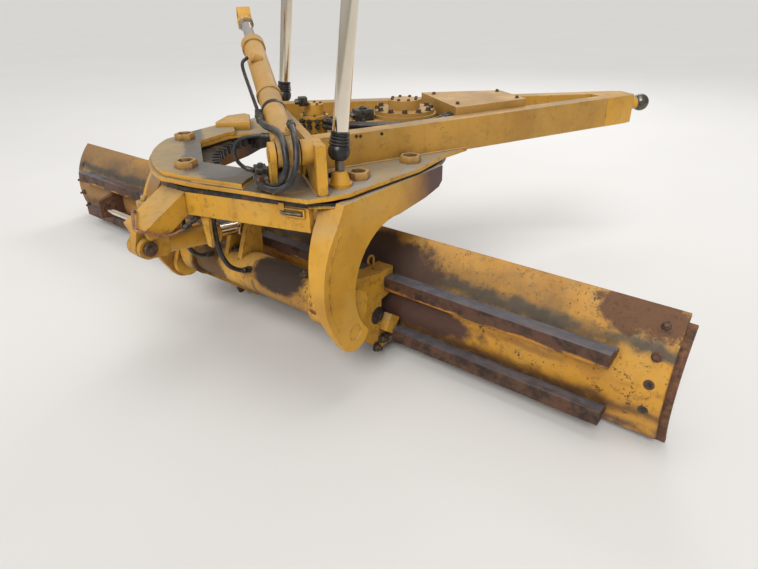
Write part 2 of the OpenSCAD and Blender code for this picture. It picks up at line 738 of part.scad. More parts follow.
rail(1);  // rail_left
rail(-1);  // rail_right
drawbar_head();
yoke_deck();
yoke_rear_plate();
circle_shoes();
shoe_caps();
shift_bracket();
ball_stud(1);  // ball_stud_left
ball_stud(-1);  // ball_stud_right
circle_gearbox();
drive_motor();
swivel();
hose_cover();
circle_ring();
arm(1);  // arm_left
arm(-1);  // arm_right
rear_beam();
tip_bracket();
pinion();
pivot_tube();
slide_bracket(1);  // slide_bracket_left
slide_bracket(-1);  // slide_bracket_right
tip_ears();
side_barrel();
moldboard();
slide_rail(upper_rail_z);  // upper_slide_rail
slide_rail(lower_rail_z);  // lower_slide_rail
cutting_edge();
end_bit(1);  // end_bit_left
end_bit(-1);  // end_bit_right
side_rod_bracket();
side_rod();
tip_barrel();
tip_rod();
lift_rod(1);  // lift_rod_left
lift_rod(-1);  // lift_rod_right
lift_boot(1);  // lift_boot_left
lift_boot(-1);  // lift_boot_right
lift_barrel(1);  // lift_barrel_left
lift_barrel(-1);  // lift_barrel_right
shift_barrel();
shift_rod();
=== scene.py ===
"""Looks of a motor grader's blade group: worn construction yellow, rust, grease, chrome and rubber.

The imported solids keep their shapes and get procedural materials. Bolts, welds, hoses, pipes and
other small fittings are built here in mesh code and ride on the bodies that carry them.
"""

from math import cos, pi, radians, sin, tan

import bmesh
import bpy
from mathutils import Matrix, Vector


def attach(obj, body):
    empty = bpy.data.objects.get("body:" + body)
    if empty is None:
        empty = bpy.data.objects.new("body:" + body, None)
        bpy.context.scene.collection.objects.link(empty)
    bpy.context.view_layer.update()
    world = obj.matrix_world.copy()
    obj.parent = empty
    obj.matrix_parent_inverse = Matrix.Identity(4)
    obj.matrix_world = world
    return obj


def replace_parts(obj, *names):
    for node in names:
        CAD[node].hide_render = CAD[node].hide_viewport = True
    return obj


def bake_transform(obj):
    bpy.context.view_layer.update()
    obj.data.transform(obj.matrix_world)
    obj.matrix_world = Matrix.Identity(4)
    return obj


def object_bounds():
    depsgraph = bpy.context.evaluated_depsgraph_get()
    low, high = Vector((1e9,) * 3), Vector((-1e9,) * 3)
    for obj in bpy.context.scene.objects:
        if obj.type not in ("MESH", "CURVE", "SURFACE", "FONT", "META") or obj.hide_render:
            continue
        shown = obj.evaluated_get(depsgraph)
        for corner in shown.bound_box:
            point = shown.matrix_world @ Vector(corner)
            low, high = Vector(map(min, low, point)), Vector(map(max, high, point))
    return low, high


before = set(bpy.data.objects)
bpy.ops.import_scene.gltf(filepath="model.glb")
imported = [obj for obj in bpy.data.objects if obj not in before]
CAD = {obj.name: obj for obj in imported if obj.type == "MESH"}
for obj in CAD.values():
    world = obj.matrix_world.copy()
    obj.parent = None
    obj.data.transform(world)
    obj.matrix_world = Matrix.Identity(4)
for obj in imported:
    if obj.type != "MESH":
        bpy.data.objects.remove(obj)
CAD_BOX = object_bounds()

# Places in metres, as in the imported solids. Those of the circle, tilt frame and blade are in the circle's
# own turned frame: u forward of the blade, v along it to the left, z up.

CIRCLE_X = -1.799
BLADE_ANGLE = radians(34.24)
TURN = Matrix.Translation((CIRCLE_X, 0, 0)) @ Matrix.Rotation(BLADE_ANGLE, 4, "Z")
FLOOR_Z = CAD_BOX[0].z

DECK_Z = -0.079  # top of the yoke's deck, and of the plate at its rear
REAR_DECK_Z = -0.059
RAIL_ANGLE = radians(11.9)  # between a rail and the machine's axis
RAIL_OUTSIDE = 0.048  # half the distance between the rails' outer faces at the ball
RAIL_ACROSS = 0.0777  # a rail's thickness, straight across the machine
GEARBOX_X = CIRCLE_X + 0.408
SWIVEL = Vector((CIRCLE_X - 0.031, 0.045, 0))
SHOES = ((57, 0.52, DECK_Z), (89, 0.59, DECK_Z), (158, 0.69, REAR_DECK_Z))  # degrees, distance, height

ARM_FACE = 0.608  # v of the blade arms' outer faces
ARM_WELD_Z = -0.123  # 5 mm above the circle's underside, so the beads are mostly inside its plate
JAW_FACE = 0.491  # v of the slide brackets' outer faces
TUBE = (-0.459, -0.597)  # u and z of the tilt frame's tube, and its radius
TUBE_R = 0.09
CURL = (0.343, -0.76)  # u and z of the axis of the moldboard's curve, and the radius of its back
BACK_R = 0.435
BLADE_SHIFT = 0.427  # v of the moldboard's middle
END_BOLT_V = 2.076  # from the moldboard's middle to the bolts of an end bit
EDGE_BOLT_STEP = 0.152

LIFT_BALL = (-1.88, 0.661, 0.054)  # the left lift cylinder's ball; the right one mirrors it
LIFT_LEAN = radians(7)
PIPE_OFF = 0.086  # from a lift cylinder's axis to its pipe
SHIFT_PIN = Vector((-2.075, -0.69, 0.07))
SHIFT_RISE = radians(19.5)
SHIFT_WAY = (0, 0.943, 0.334)  # along the centre shift cylinder, and straight up from it
SHIFT_UP = (0, -0.334, 0.943)

NARROWEST = 1e-4  # a ring of a turned body can't close to a point
BEVEL_WIDTH = 0.0025
BEVEL_ABOVE = radians(38)
WELD_WITHIN = 0.00002

# The camera, fitted to the photograph: its place, its yaw, pitch and roll in degrees, and its lens

CAMERA_PLACE = (-2.3582, -2.7402, 0.5981)
CAMERA_TURN = (73.2675, 27.4477, 0.9382)
IMAGE_WIDTH = 758
FOCAL_PIXELS = 576.05
SENSOR = 36

# Lamps: name, kind, place, target, power, and the sun's angle or the rectangle's sides

LAMPS = (
    ("key", "SUN", (-5.5, -5.0, 5.5), (-1.8, 0.2, -0.3), 2.2, radians(28)),
    ("rim", "AREA", (2.5, 5.5, 4.5), (-1.8, 0, -0.3), 160, (4.0, 2.5)),
    ("top", "AREA", (-1.5, -0.5, 6.5), (-1.8, 0, -0.3), 110, (3.5, 3.5)),
)


def circ(u, v, z):
    """A point given in the circle's frame: u forward of the blade, v along it to the left."""
    return TURN @ Vector((u, v, z))


def circ_dir(u, v, z):
    """A direction given in the circle's frame."""
    return (TURN.to_3x3() @ Vector((u, v, z))).normalized()


def on_round(centre, r, angle, v):
    """A point on a round form that runs along v, and the way it faces there."""
    a = radians(angle)
    point = circ(centre[0] + r * cos(a), v, centre[1] + r * sin(a))
    return point, circ_dir(cos(a), 0, sin(a))


def on_back(angle, v, lift=0.0):
    """A point on the moldboard's back, v from the middle of the blade, and the way it faces."""
    return on_round(CURL, BACK_R + lift, angle, v + BLADE_SHIFT)


def on_tube(angle, v, lift):
    """A point on the tilt frame's tube, and the way it faces."""
    return on_round(TUBE, TUBE_R + lift, angle, v)


def on_shift(s, x=0.0, up=0.0):
    """A point by the centre shift cylinder: s along it from its pin, x and up across it."""
    c, k = cos(SHIFT_RISE), sin(SHIFT_RISE)
    return SHIFT_PIN + Vector((x, c * s - k * up, k * s + c * up))


# Camera, floor and light


def add_object(name, data):
    """Makes an object and puts it into the scene."""
    made = bpy.data.objects.new(name, data)
    bpy.context.scene.collection.objects.link(made)
    return made


def add_camera():
    """The photo's camera: 27.4 mm on a 36 mm sensor, over the machine's right rear."""
    yaw, pitch, roll = (radians(a) for a in CAMERA_TURN)
    ahead = Vector((cos(yaw) * cos(pitch), sin(yaw) * cos(pitch), -sin(pitch)))
    level = Vector((sin(yaw), -cos(yaw), 0))
    low = ahead.cross(level)
    right = cos(roll) * level + sin(roll) * low
    down = cos(roll) * low - sin(roll) * level
    camera = add_object("camera", bpy.data.cameras.new("camera"))
    camera.data.sensor_width = SENSOR
    camera.data.lens = SENSOR * FOCAL_PIXELS / IMAGE_WIDTH
    camera.data.clip_end = 2000
    turn = Matrix((right, -down, -ahead)).transposed().to_4x4()
    camera.matrix_world = Matrix.Translation(CAMERA_PLACE) @ turn
    bpy.context.scene.camera = camera


def add_lamp(name, kind, place, target, power, size):
    lamp = bpy.data.lights.new(name, kind)
    lamp.energy = power
    if kind == "SUN":
        lamp.angle = size
    else:
        lamp.shape = "RECTANGLE"
        lamp.size, lamp.size_y = size
    holder = add_object(name, lamp)
    holder.location = place
    holder.rotation_euler = (Vector(target) - Vector(place)).to_track_quat("-Z", "Y").to_euler()


def add_world():
    """Even sky light, a little darker at the horizon for the metal, and pale where the camera sees it."""
    world = bpy.data.worlds.new("studio")
    bpy.context.scene.world = world
    world.use_nodes = True
    nodes, links = world.node_tree.nodes, world.node_tree.links
    nodes.clear()
    kinds = ("TexCoord", "SeparateXYZ", "ValToRGB", "Background", "Background", "LightPath", "MixShader",
             "OutputWorld")
    where, split, ramp, light, pale, path, pick, out = (nodes.new("ShaderNode" + kind) for kind in kinds)
    stops = ramp.color_ramp.elements
    stops[0].color = (0.52, 0.51, 0.49, 1)
    stops[1].position = 0.8
    stops[1].color = (1.0, 1.0, 1.0, 1)
    stops.new(0.1).color = (0.74, 0.73, 0.72, 1)
    light.inputs["Strength"].default_value = 0.62
    pale.inputs["Color"].default_value = (0.73, 0.72, 0.7, 1)
    links.new(where.outputs["Generated"], split.inputs[0])
    links.new(split.outputs["Z"], ramp.inputs["Fac"])
    links.new(ramp.outputs["Color"], light.inputs["Color"])
    links.new(path.outputs["Is Camera Ray"], pick.inputs[0])
    links.new(light.outputs[0], pick.inputs[1])
    links.new(pale.outputs[0], pick.inputs[2])
    links.new(pick.outputs[0], out.inputs["Surface"])


def add_floor():
    """A pale floor out to the horizon."""
    mesh = bpy.data.meshes.new("floor")
    far = 700
    corners = [(-far, -far, FLOOR_Z), (far, -far, FLOOR_Z), (far, far, FLOOR_Z), (-far, far, FLOOR_Z)]
    mesh.from_pydata(corners, [], [(0, 1, 2, 3)])
    floor = add_object("floor", mesh)
    s = Shader("floor")
    tone = s.mix(rgb(208, 206, 202), rgb(214, 212, 209), s.noise(0.8, 3))
    s.finish(tone, 0.9)
    mesh.materials.append(s.material)


# Shader nodes


def rgb(r, g, b):
    """A colour as it is seen, from 0 to 255, turned into the linear values that shaders take."""
    line = [c / 255 / 12.92 if c <= 10.3 else ((c / 255 + 0.055) / 1.055) ** 2.4 for c in (r, g, b)]
    return (*line, 1.0)


class Shader:
    """A material, with short ways to add nodes to it."""

    def __init__(self, name, turned=False):
        self.material = bpy.data.materials.new(name)
        self.material.use_nodes = True
        self.tree = self.material.node_tree
        self.tree.nodes.clear()
        self.where = self.node("TexCoord").outputs["Object"]
        if turned:  # from the row frame into the circle's u, v and z
            back = TURN.inverted().to_translation()
            way = {"Vector": self.where, "Location": back, "Rotation": (0, 0, -BLADE_ANGLE)}
            self.where = self.node("Mapping", way).outputs[0]

    def node(self, kind, inputs=None, **settings):
        made = self.tree.nodes.new("ShaderNode" + kind)
        for key, value in settings.items():
            setattr(made, key, value)
        for key, value in (inputs or {}).items():
            self.put(made.inputs[key], value)
        return made

    def put(self, socket, value):
        if isinstance(value, bpy.types.NodeSocket):
            self.tree.links.new(value, socket)
        else:
            socket.default_value = value

    def noise(self, scale, detail, rough=0.55, stretch=None, shift=0.0):
        where = self.where
        if stretch or shift:
            way = {"Vector": where, "Scale": stretch or (1, 1, 1), "Location": (shift, shift, shift)}
            where = self.node("Mapping", way).outputs[0]
        values = {"Vector": where, "Scale": scale, "Detail": detail, "Roughness": rough}
        return self.node("TexNoise", values).outputs["Fac"]

    def calc(self, what, a, b):
        return self.node("Math", {0: a, 1: b}, operation=what).outputs[0]

    def rest(self, share):
        """What a share leaves."""
        return self.calc("SUBTRACT", 1.0, share)

    def times(self, *values):
        total = values[0]
        for value in values[1:]:
            total = self.calc("MULTIPLY", total, value)
        return total

    def step(self, value, low, high):
        """0 below low, 1 above high and smooth between; low may be the larger one."""
        ends = {"Value": value, "From Min": low, "From Max": high}
        return self.node("MapRange", ends, interpolation_type="SMOOTHSTEP").outputs[0]

    def spots(self, low, high, *noise, **more):
        """Noise turned into spots: 0 where it is below low, 1 above high."""
        return self.step(self.noise(*noise, **more), low, high)

    def mix(self, a, b, share):
        made = self.node("Mix", data_type="RGBA")
        self.put(made.inputs[0], share)
        self.put(made.inputs[6], a)
        self.put(made.inputs[7], b)
        return made.outputs[2]

    def axis(self, name):
        return self.node("SeparateXYZ", {0: self.where}).outputs[name]

    def facing(self, name, low=0.35, high=0.9):
        """1 where the surface faces along that axis of the row frame; low above high turns it round."""
        normal = self.node("NewGeometry").outputs["Normal"]
        return self.step(self.node("SeparateXYZ", {0: normal}).outputs[name], low, high)

    def edges(self, radius):
        """1 along outside and inside edges, within that radius."""
        soft = self.node("Bevel", {"Radius": radius}, samples=4).outputs[0]
        hard = self.node("NewGeometry").outputs["Normal"]
        pair = {0: soft, 1: hard}
        same = self.node("VectorMath", pair, operation="DOT_PRODUCT").outputs["Value"]
        return self.step(same, 0.995, 0.86)

    def hollows(self, reach):
        """1 deep in corners and gaps."""
        open_sky = self.node("AmbientOcclusion", {"Distance": reach}, samples=6).outputs["AO"]
        return self.step(open_sky, 0.85, 0.35)

    def patch(self, centre, size, ragged=0.0, scale=0.0):
        """1 inside an ellipsoid, whose edge noise of that scale makes ragged."""
        away = self.node("VectorMath", {0: self.where, 1: centre}, operation="SUBTRACT").outputs[0]
        away = self.node("VectorMath", {0: away, 1: size}, operation="DIVIDE").outputs[0]
        far = self.node("VectorMath", {0: away}, operation="LENGTH").outputs["Value"]
        if ragged:
            shake = self.calc("SUBTRACT", self.noise(scale, 6, 0.65), 0.5)
            far = self.calc("ADD", far, self.times(shake, ragged * 2))
        return self.step(far, 1.1, 0.8 if ragged else 1.05)

    def band(self, name, low, high, soft, ragged=0.03):
        """1 where that coordinate lies between low and high."""
        shake = self.times(self.calc("SUBTRACT", self.noise(9, 6, 0.6), 0.5), ragged * 2)
        value = self.calc("ADD", self.axis(name), shake)
        above = self.step(value, low - soft, low + soft)
        below = self.step(value, high + soft, high - soft)
        return self.times(above, below)

    def cover(self, below, above, share):
        """Lays one value over another: the share of above, and the rest of below."""
        rest = self.times(below, self.rest(share))
        return self.calc("ADD", rest, self.times(share, above))

    def finish(self, colour, rough, metal=0.0, height=None, bump=0.0):
        shader = self.node("BsdfPrincipled")
        self.put(shader.inputs["Base Color"], colour)
        self.put(shader.inputs["Roughness"], rough)
        self.put(shader.inputs["Metallic"], metal)
        if height is not None:
            made = self.node("Bump", {"Height": height, "Distance": 0.002, "Strength": bump})
            self.put(shader.inputs["Normal"], made.outputs[0])
        out = self.node("OutputMaterial")
        self.put(out.inputs["Surface"], shader.outputs[0])


# Materials

YELLOW = rgb(204, 150, 42)
YELLOW_SHADE = rgb(170, 120, 28)
CHALK = rgb(192, 154, 80)
RUST = rgb(104, 64, 40)
RUST_DARK = rgb(58, 40, 32)
DUST = rgb(140, 126, 102)
SOIL = rgb(66, 50, 32)
CHROME_TONE = rgb(206, 202, 194)


def worn_paint(name, rust, dust, grime, wear, turned=False, base=YELLOW, shade=YELLOW_SHADE, layers=None):
    """Yellow paint with bleached areas, run-off streaks, dust, dirt in the corners, chips and worn edges.

    Each of layers is a share, a colour, a roughness and, where it shines, a metallic value.
    """
    s = Shader(name, turned)
    fine = s.noise(23, 9, 0.68)
    grit = s.noise(160, 4, 0.6)
    colour = s.mix(shade, base, s.spots(0.32, 0.6, 1.7, 5, 0.6))
    colour = s.mix(colour, CHALK, s.times(s.spots(0.46, 0.72, 5, 6, 0.6, shift=3.1), 0.4))
    streaks = s.spots(0.52, 0.72, 16, 5, 0.6, stretch=(1, 1, 0.12))
    colour = s.mix(colour, SOIL, s.times(streaks, 0.2 * grime))
    speck = s.step(s.calc("ADD", fine, s.times(grit, 0.25)), 0.66, 0.76)
    colour = s.mix(colour, SOIL, s.times(speck, 0.45 * grime))
    dirt = s.times(s.hollows(0.06), s.step(fine, 0.2, 0.55))
    colour = s.mix(colour, SOIL, s.times(dirt, grime))
    edge = s.edges(0.006)
    worn = s.calc("ADD", s.noise(60, 8, 0.72), s.times(s.noise(3.3, 4, 0.6, shift=7.7), 0.55))
    chips = s.step(worn, 1.02 - 0.16 * rust, 1.05 - 0.16 * rust)
    rubbed = s.times(edge, s.step(fine, 0.62 - 0.25 * wear, 0.7 - 0.2 * wear))
    bare = s.calc("MAXIMUM", chips, rubbed)
    colour = s.mix(colour, s.mix(RUST_DARK, RUST, s.noise(90, 5, 0.7)), bare)
    settled = s.times(s.facing("Z"), s.spots(0.3, 0.62, 4, 7, 0.62, shift=1.3))
    colour = s.mix(colour, DUST, s.times(settled, dust))
    rough = s.calc("ADD", 0.38, s.times(s.noise(12, 6), 0.2))
    rough = s.calc("ADD", rough, s.times(s.calc("MAXIMUM", bare, settled), 0.32))
    metal = 0.0
    for share, tint, gloss, *shine in (layers(s) if layers else []):
        colour = s.mix(colour, tint, share)
        rough = s.cover(rough, gloss, share)
        if shine:
            metal = s.calc("MAXIMUM", metal, s.times(share, shine[0]))
    height = s.calc("SUBTRACT", s.times(grit, 0.12), s.times(bare, 0.5))
    s.finish(colour, rough, metal, height, 0.55)
    return s.material


def arm_layers(s):
    """The arm's front end is bare, brown steel; its top edge is grey and its inner side brown with dirt."""
    ragged = s.times(s.noise(7, 5, 0.6), 0.13)
    tail = s.step(s.calc("ADD", s.axis("X"), ragged), -0.04, 0.09)
    brown = s.mix(rgb(104, 74, 66), rgb(66, 48, 46), s.noise(14, 6, 0.6))
    scorch = s.times(s.step(s.calc("ADD", s.axis("X"), ragged), -0.12, 0.0), 0.5)
    top = s.times(s.facing("Z"), s.spots(0.3, 0.5, 10, 5), 0.8)
    inner = s.times(s.band("Y", 0.44, 0.587, 0.01, 0.0), s.spots(0.25, 0.5, 6, 6, 0.6), 0.75)
    spot = s.patch((-0.52, 0.56, -0.36), (0.05, 0.05, 0.03), 0.2, 30)
    return [
        (inner, rgb(112, 72, 30), 0.7), (spot, rgb(40, 28, 20), 0.8), (scorch, rgb(150, 98, 48), 0.6),
        (tail, brown, 0.6), (top, rgb(146, 142, 130), 0.8),
    ]


def tube_layers(s):
    """Rust patch and scar on the tilt frame's tube, with soot round its ends, and painted shade on every
    face that looks down.
    """
    patch = s.patch((-0.5, -0.17, -0.53), (0.16, 0.17, 0.085), 0.4, 16)
    brown = s.mix(rgb(36, 25, 20), rgb(62, 44, 32), s.noise(45, 7, 0.7))
    drips = s.times(s.patch((-0.53, -0.17, -0.6), (0.2, 0.24, 0.1), 0.9, 30), 0.5)
    lines = s.spots(0.6, 0.66, 22, 4, 0.5, stretch=(0.25, 1, 0.25))
    runs = s.times(lines, s.band("Y", -0.1, 0.16, 0.02), 0.7)
    far = s.times(s.patch((-0.5, 0.3, -0.66), (0.3, 0.13, 0.2), 0.7, 14), 0.85)
    scar = s.patch((-0.545, -0.435, -0.6), (0.05, 0.035, 0.012), 0.5, 40)
    # painted shade: faces that look down are darkened as if in shadow
    painted_underside_shade = s.times(s.facing("Z", -0.2, -0.9), 0.7)
    return [
        (drips, rgb(100, 70, 38), 0.6), (patch, brown, 0.75), (runs, rgb(84, 56, 28), 0.7),
        (far, s.mix(rgb(96, 62, 34), rgb(52, 38, 30), s.noise(30, 6)), 0.7), (scar, rgb(112, 52, 36), 0.6),
        (painted_underside_shade, rgb(66, 52, 40), 0.8),
    ]


def board_layers(s):
    """Bands along the moldboard's back: pitted above, grease by the rails, soil at its foot."""
    brown = s.mix(RUST_DARK, RUST, s.noise(30, 7, 0.7))
    grey = s.mix(rgb(84, 78, 66), rgb(46, 42, 38), s.noise(20, 6))
    pits = s.times(s.spots(0.58, 0.64, 55, 9, 0.75), s.band("Z", -0.6, -0.43, 0.02))
    far_end = s.step(s.calc("ADD", s.axis("Y"), s.times(s.noise(5, 5), 0.5)), 1.5, 2.3)
    film = s.times(s.band("Z", -0.6, -0.49, 0.05, 0.05), s.spots(0.34, 0.62, 2.4, 6, 0.6), 0.55)
    smear = s.times(s.band("Z", -0.605, -0.555, 0.018, 0.05), s.spots(0.2, 0.5, 3, 5), 0.92)
    long_spots = s.spots(0.36, 0.56, 4, 6, 0.6, stretch=(1, 0.4, 1))
    between = s.times(s.band("Z", -0.87, -0.815, 0.03, 0.06), long_spots, 0.8)
    by_arm = s.patch((-0.09, -0.55, -0.77), (0.2, 0.42, 0.085), 0.5, 9)
    lines = s.times(s.band("Z", -0.745, -0.72, 0.008, 0.02), s.spots(0.4, 0.6, 3, 6, 0.6), 0.6)
    burnt = s.patch((-0.02, -0.3, -0.57), (0.4, 0.46, 0.12), 0.5, 9)
    end_rust = s.times(s.patch((0.0, -1.56, -0.47), (0.3, 0.19, 0.085), 0.8, 15), 0.9)
    end_spots = s.times(s.spots(0.585, 0.63, 26, 8, 0.7, shift=4), s.step(s.axis("Y"), -1.3, -1.5))
    foot = s.times(s.band("Z", -1.0, -0.905, 0.02, 0.05), s.spots(0.3, 0.5, 9, 6), 0.9)
    faded = s.mix(rgb(142, 110, 72), rgb(98, 72, 50), s.noise(18, 7, 0.7))
    return [
        (s.times(far_end, 0.8), faded, 0.7), (s.times(pits, 0.85), brown, 0.75), (film, grey, 0.6),
        (lines, rgb(140, 92, 32), 0.5), (between, brown, 0.7),
        (by_arm, s.mix(brown, rgb(76, 56, 50), 0.5), 0.7), (smear, grey, 0.45),
        (foot, s.mix(brown, rgb(120, 92, 78), s.noise(60, 5)), 0.8),
        (burnt, s.mix(rgb(52, 38, 32), rgb(86, 60, 44), s.noise(12, 6)), 0.65),
        (s.times(end_spots, 0.85), brown, 0.75), (end_rust, brown, 0.75),
    ]


def deck_layers(s):
    """Dust, oil and bare worn steel on top of the yoke."""
    up = s.facing("Z")
    oil = s.times(s.patch((-2.16, -0.52, -0.07), (0.24, 0.2, 0.2), 0.8, 7), up)
    wet = s.mix(rgb(70, 60, 50), rgb(36, 32, 29), s.noise(18, 5))
    bare = s.times(s.spots(0.54, 0.6, 3.1, 6, 0.6, shift=9), up)
    worn_edge = s.times(s.band("X", -2.45, -2.355, 0.012, 0.04), s.band("Y", -0.36, 0.5, 0.05, 0.05), up)
    side = s.times(s.patch((-2.3, -0.3, -0.06), (0.1, 0.16, 0.1), 0.7, 11), up)
    steel = s.mix(rgb(126, 122, 116), rgb(80, 77, 74), s.noise(14, 7, 0.7))
    dusty = s.mix(rgb(146, 138, 118), rgb(112, 106, 88), s.noise(6, 7, 0.65))
    return [
        (s.times(up, s.spots(0.22, 0.5, 2.6, 5), 0.68), dusty, 0.78),
        (s.times(bare, 0.6), rgb(132, 130, 128), 0.45), (s.times(oil, 0.78), wet, 0.38),
        (s.times(worn_edge, 0.85), steel, 0.36, 0.5), (s.times(side, 0.8), steel, 0.4, 0.4),
    ]


def ball_layers(s):
    """The ball is bare, greased steel."""
    ball = s.patch((0, 0, 0), (0.047, 0.047, 0.047))
    return [(ball, s.mix(rgb(120, 114, 104), rgb(52, 46, 40), s.noise(40, 6)), 0.3, 0.9)]


def stud_layers(s):
    """Above its yellow foot the stud is steel."""
    steel = s.step(s.axis("Z"), -0.02, -0.017)
    return [(steel, rgb(112, 106, 98), 0.35, 0.9)]


def shift_rod_layers(s):
    """The rod is chrome up to its painted eye."""
    eye = s.patch((-2.075, 0.446, 0.472), (0.075, 0.098, 0.098))
    return [(s.rest(eye), CHROME_TONE, 0.12, 1.0)]


def metal(name, light, dark, rough, scale, metallic, rust, turned=False, grain=None, extra=None):
    """Bare or greased metal: two tones in noise, rust in blotches, and grain along one direction."""
    s = Shader(name, turned)
    colour = s.mix(dark, light, s.spots(0.35, 0.65, scale, 8, 0.65))
    lines = s.noise(30, 6, 0.7, stretch=grain) if grain else s.noise(scale * 3, 5)
    colour = s.mix(colour, light, s.times(s.edges(0.005), 0.5))
    spots = s.spots(0.62 - 0.3 * rust, 0.68 - 0.2 * rust, 7, 8, 0.68, shift=5)
    colour = s.mix(colour, s.mix(RUST_DARK, RUST, s.noise(50, 6, 0.7)), spots)
    shine = s.times(s.rest(spots), metallic)
    for share, tint in (extra(s) if extra else []):
        colour = s.mix(colour, tint, share)
    s.finish(colour, s.calc("ADD", rough, s.times(lines, 0.22)), shine, lines, 0.4)
    return s.material


def slide_extra(s):
    """The slide rails' tops are polished blue-grey, and yellow paint is left low on their faces."""
    top = s.times(s.facing("Z", 0.5, 0.9), s.spots(0.3, 0.5, 5, 5, 0.6, stretch=(1, 0.2, 1)), 0.85)
    left_over = s.times(s.band("Z", -0.66, -0.641, 0.004, 0.02), s.spots(0.46, 0.6, 8, 6), 0.8)
    return [(left_over, rgb(190, 128, 40)), (top, rgb(98, 98, 104))]


def chrome():
    """Bright rods, a little dulled by oil."""
    s = Shader("chrome")
    smear = s.spots(0.4, 0.75, 4, 5, stretch=(1, 1, 0.5))
    colour = s.mix(rgb(236, 226, 208), rgb(214, 198, 174), smear)
    s.finish(colour, s.calc("ADD", 0.08, s.times(smear, 0.12)), 1.0)
    return s.material


def rubber(name, tone, dusty, rough):
    """Black rubber, scuffed, with dust on its upper side."""
    s = Shader(name)
    wear = s.times(s.spots(0.45, 0.75, 20, 7, 0.6), dusty)
    settled = s.times(s.facing("Z", 0.5, 1.0), s.spots(0.4, 0.6, 9, 5), dusty)
    colour = s.mix(s.mix(tone, rgb(104, 98, 90), wear), rgb(128, 118, 104), s.times(settled, 0.5))
    s.finish(colour, s.calc("ADD", rough, s.times(wear, 0.3)), 0.0, s.noise(240, 3), 0.2)
    return s.material


def make_materials():
    """Every material. A paint's four numbers are its rust, dust, grime and rubbed edges, from 0 to 1.

    A metal's are its roughness, its noise's scale, its metallic value and its rust. True is for materials
    that lie in the circle's frame.
    """
    grain = (1, 0.03, 1)  # stretched along the blade
    shaded = {"base": rgb(176, 132, 66), "shade": rgb(150, 110, 54)}
    board = {"base": rgb(196, 140, 42), "shade": rgb(164, 112, 30)}
    pale = {"base": rgb(180, 136, 66), "shade": rgb(158, 116, 50)}
    rail = {"base": rgb(186, 138, 52), "shade": rgb(158, 114, 40)}
    paints = (
        ("paint", (0.35, 0.5, 0.5, 0.45), {}),
        ("paint_turned", (0.4, 0.5, 0.7, 0.6, True), {}),
        ("paint_clean", (0.1, 0.5, 0.3, 0.3), pale),
        ("rail", (0.3, 0.8, 0.5, 0.45), rail),
        ("head", (0.2, 0.6, 0.4, 0.4), {"layers": ball_layers}),
        ("stud", (0.2, 0.4, 0.4, 0.4), {"layers": stud_layers}),
        ("arm", (0.12, 0.4, 0.35, 0.4, True), {"layers": arm_layers}),
        ("tube", (0.6, 0.3, 0.75, 0.7, True), {"layers": tube_layers}),
        ("board", (0.75, 0.4, 0.8, 0.9, True), {"layers": board_layers, **board}),
        ("deck", (0.4, 0.7, 0.7, 0.6), {"layers": deck_layers}),
        ("cap", (0.5, 0.8, 0.9, 0.5), shaded),
        ("dark_paint", (0.4, 0.6, 0.9, 0.5, True), shaded),
        ("shift_rod", (0.2, 0.3, 0.4, 0.4), {"layers": shift_rod_layers}),
    )
    return {
        **{name: worn_paint(name, *wear, **more) for name, wear, more in paints},
        "bolt": metal("bolt", rgb(104, 84, 62), rgb(46, 38, 32), 0.45, 60, 0.5, 0.5),
        "slide": metal("slide", rgb(92, 66, 50), rgb(46, 35, 30), 0.46, 22, 0.35, 0.55, True, grain,
                       slide_extra),
        "edge": metal("edge", rgb(128, 122, 116), rgb(84, 76, 70), 0.36, 26, 0.8, 0.3, True, grain),
        "rust": metal("rust", rgb(120, 80, 52), rgb(62, 44, 34), 0.68, 30, 0.1, 0.5, True),
        "grease": metal("grease", rgb(62, 56, 50), rgb(22, 20, 19), 0.34, 25, 0.3, 0.2),
        "steel": metal("steel", rgb(150, 146, 140), rgb(96, 90, 84), 0.32, 50, 0.85, 0.15),
        "fitting": metal("fitting", rgb(96, 92, 84), rgb(50, 46, 42), 0.38, 70, 0.75, 0.2),
        "pipe": metal("pipe", rgb(170, 124, 96), rgb(128, 96, 78), 0.42, 60, 0.5, 0.2),
        "chrome": chrome(),
        "boot": rubber("boot", rgb(26, 26, 28), 0.35, 0.34),
        "hose": rubber("hose", rgb(28, 28, 29), 0.55, 0.42),
    }


MATERIALS = {}  # filled by main

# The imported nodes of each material, by the start of their names; the longest that fits counts

NODES = {
    "rail": "rail",
    "head": "drawbar_head",
    "deck": "yoke",
    "grease": "circle_shoes circle_ring pinion",
    "cap": "shoe_caps",
    "paint": "shift_bracket drive_motor swivel lift_barrel",
    "stud": "ball_stud",
    "paint_clean": "circle_gearbox hose_cover shift_barrel",
    "arm": "arm",
    "paint_turned": "rear_beam tip_bracket tip_ears side_barrel tip_barrel",
    "tube": "pivot_tube slide_bracket",
    "board": "moldboard",
    "slide": "upper_slide_rail lower_slide_rail",
    "edge": "cutting_edge",
    "rust": "end_bit side_rod_bracket",
    "chrome": "side_rod tip_rod lift_rod",
    "boot": "lift_boot",
    "shift_rod": "shift_rod",
}
NODE_MATERIAL = {node: material for material, nodes in NODES.items() for node in nodes.split()}


def dress_cad():
    """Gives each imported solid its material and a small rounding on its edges."""
    for name, node in CAD.items():
        key = max((k for k in NODE_MATERIAL if name.startswith(k)), key=len)
        made = MATERIALS[NODE_MATERIAL[key]]
        for i in range(len(node.data.materials)):
            node.data.materials[i] = made
        if not node.data.materials:
            node.data.materials.append(made)
        weld = node.modifiers.new("weld", "WELD")
        weld.merge_threshold = WELD_WITHIN
        bevel = node.modifiers.new("bevel", "BEVEL")
        bevel.width = BEVEL_WIDTH
        bevel.segments = 2
        bevel.limit_method = "ANGLE"
        bevel.angle_limit = BEVEL_ABOVE
        bevel.use_clamp_overlap = True
        normals = node.modifiers.new("normals", "WEIGHTED_NORMAL")
        normals.keep_sharp = False


# Mesh tools


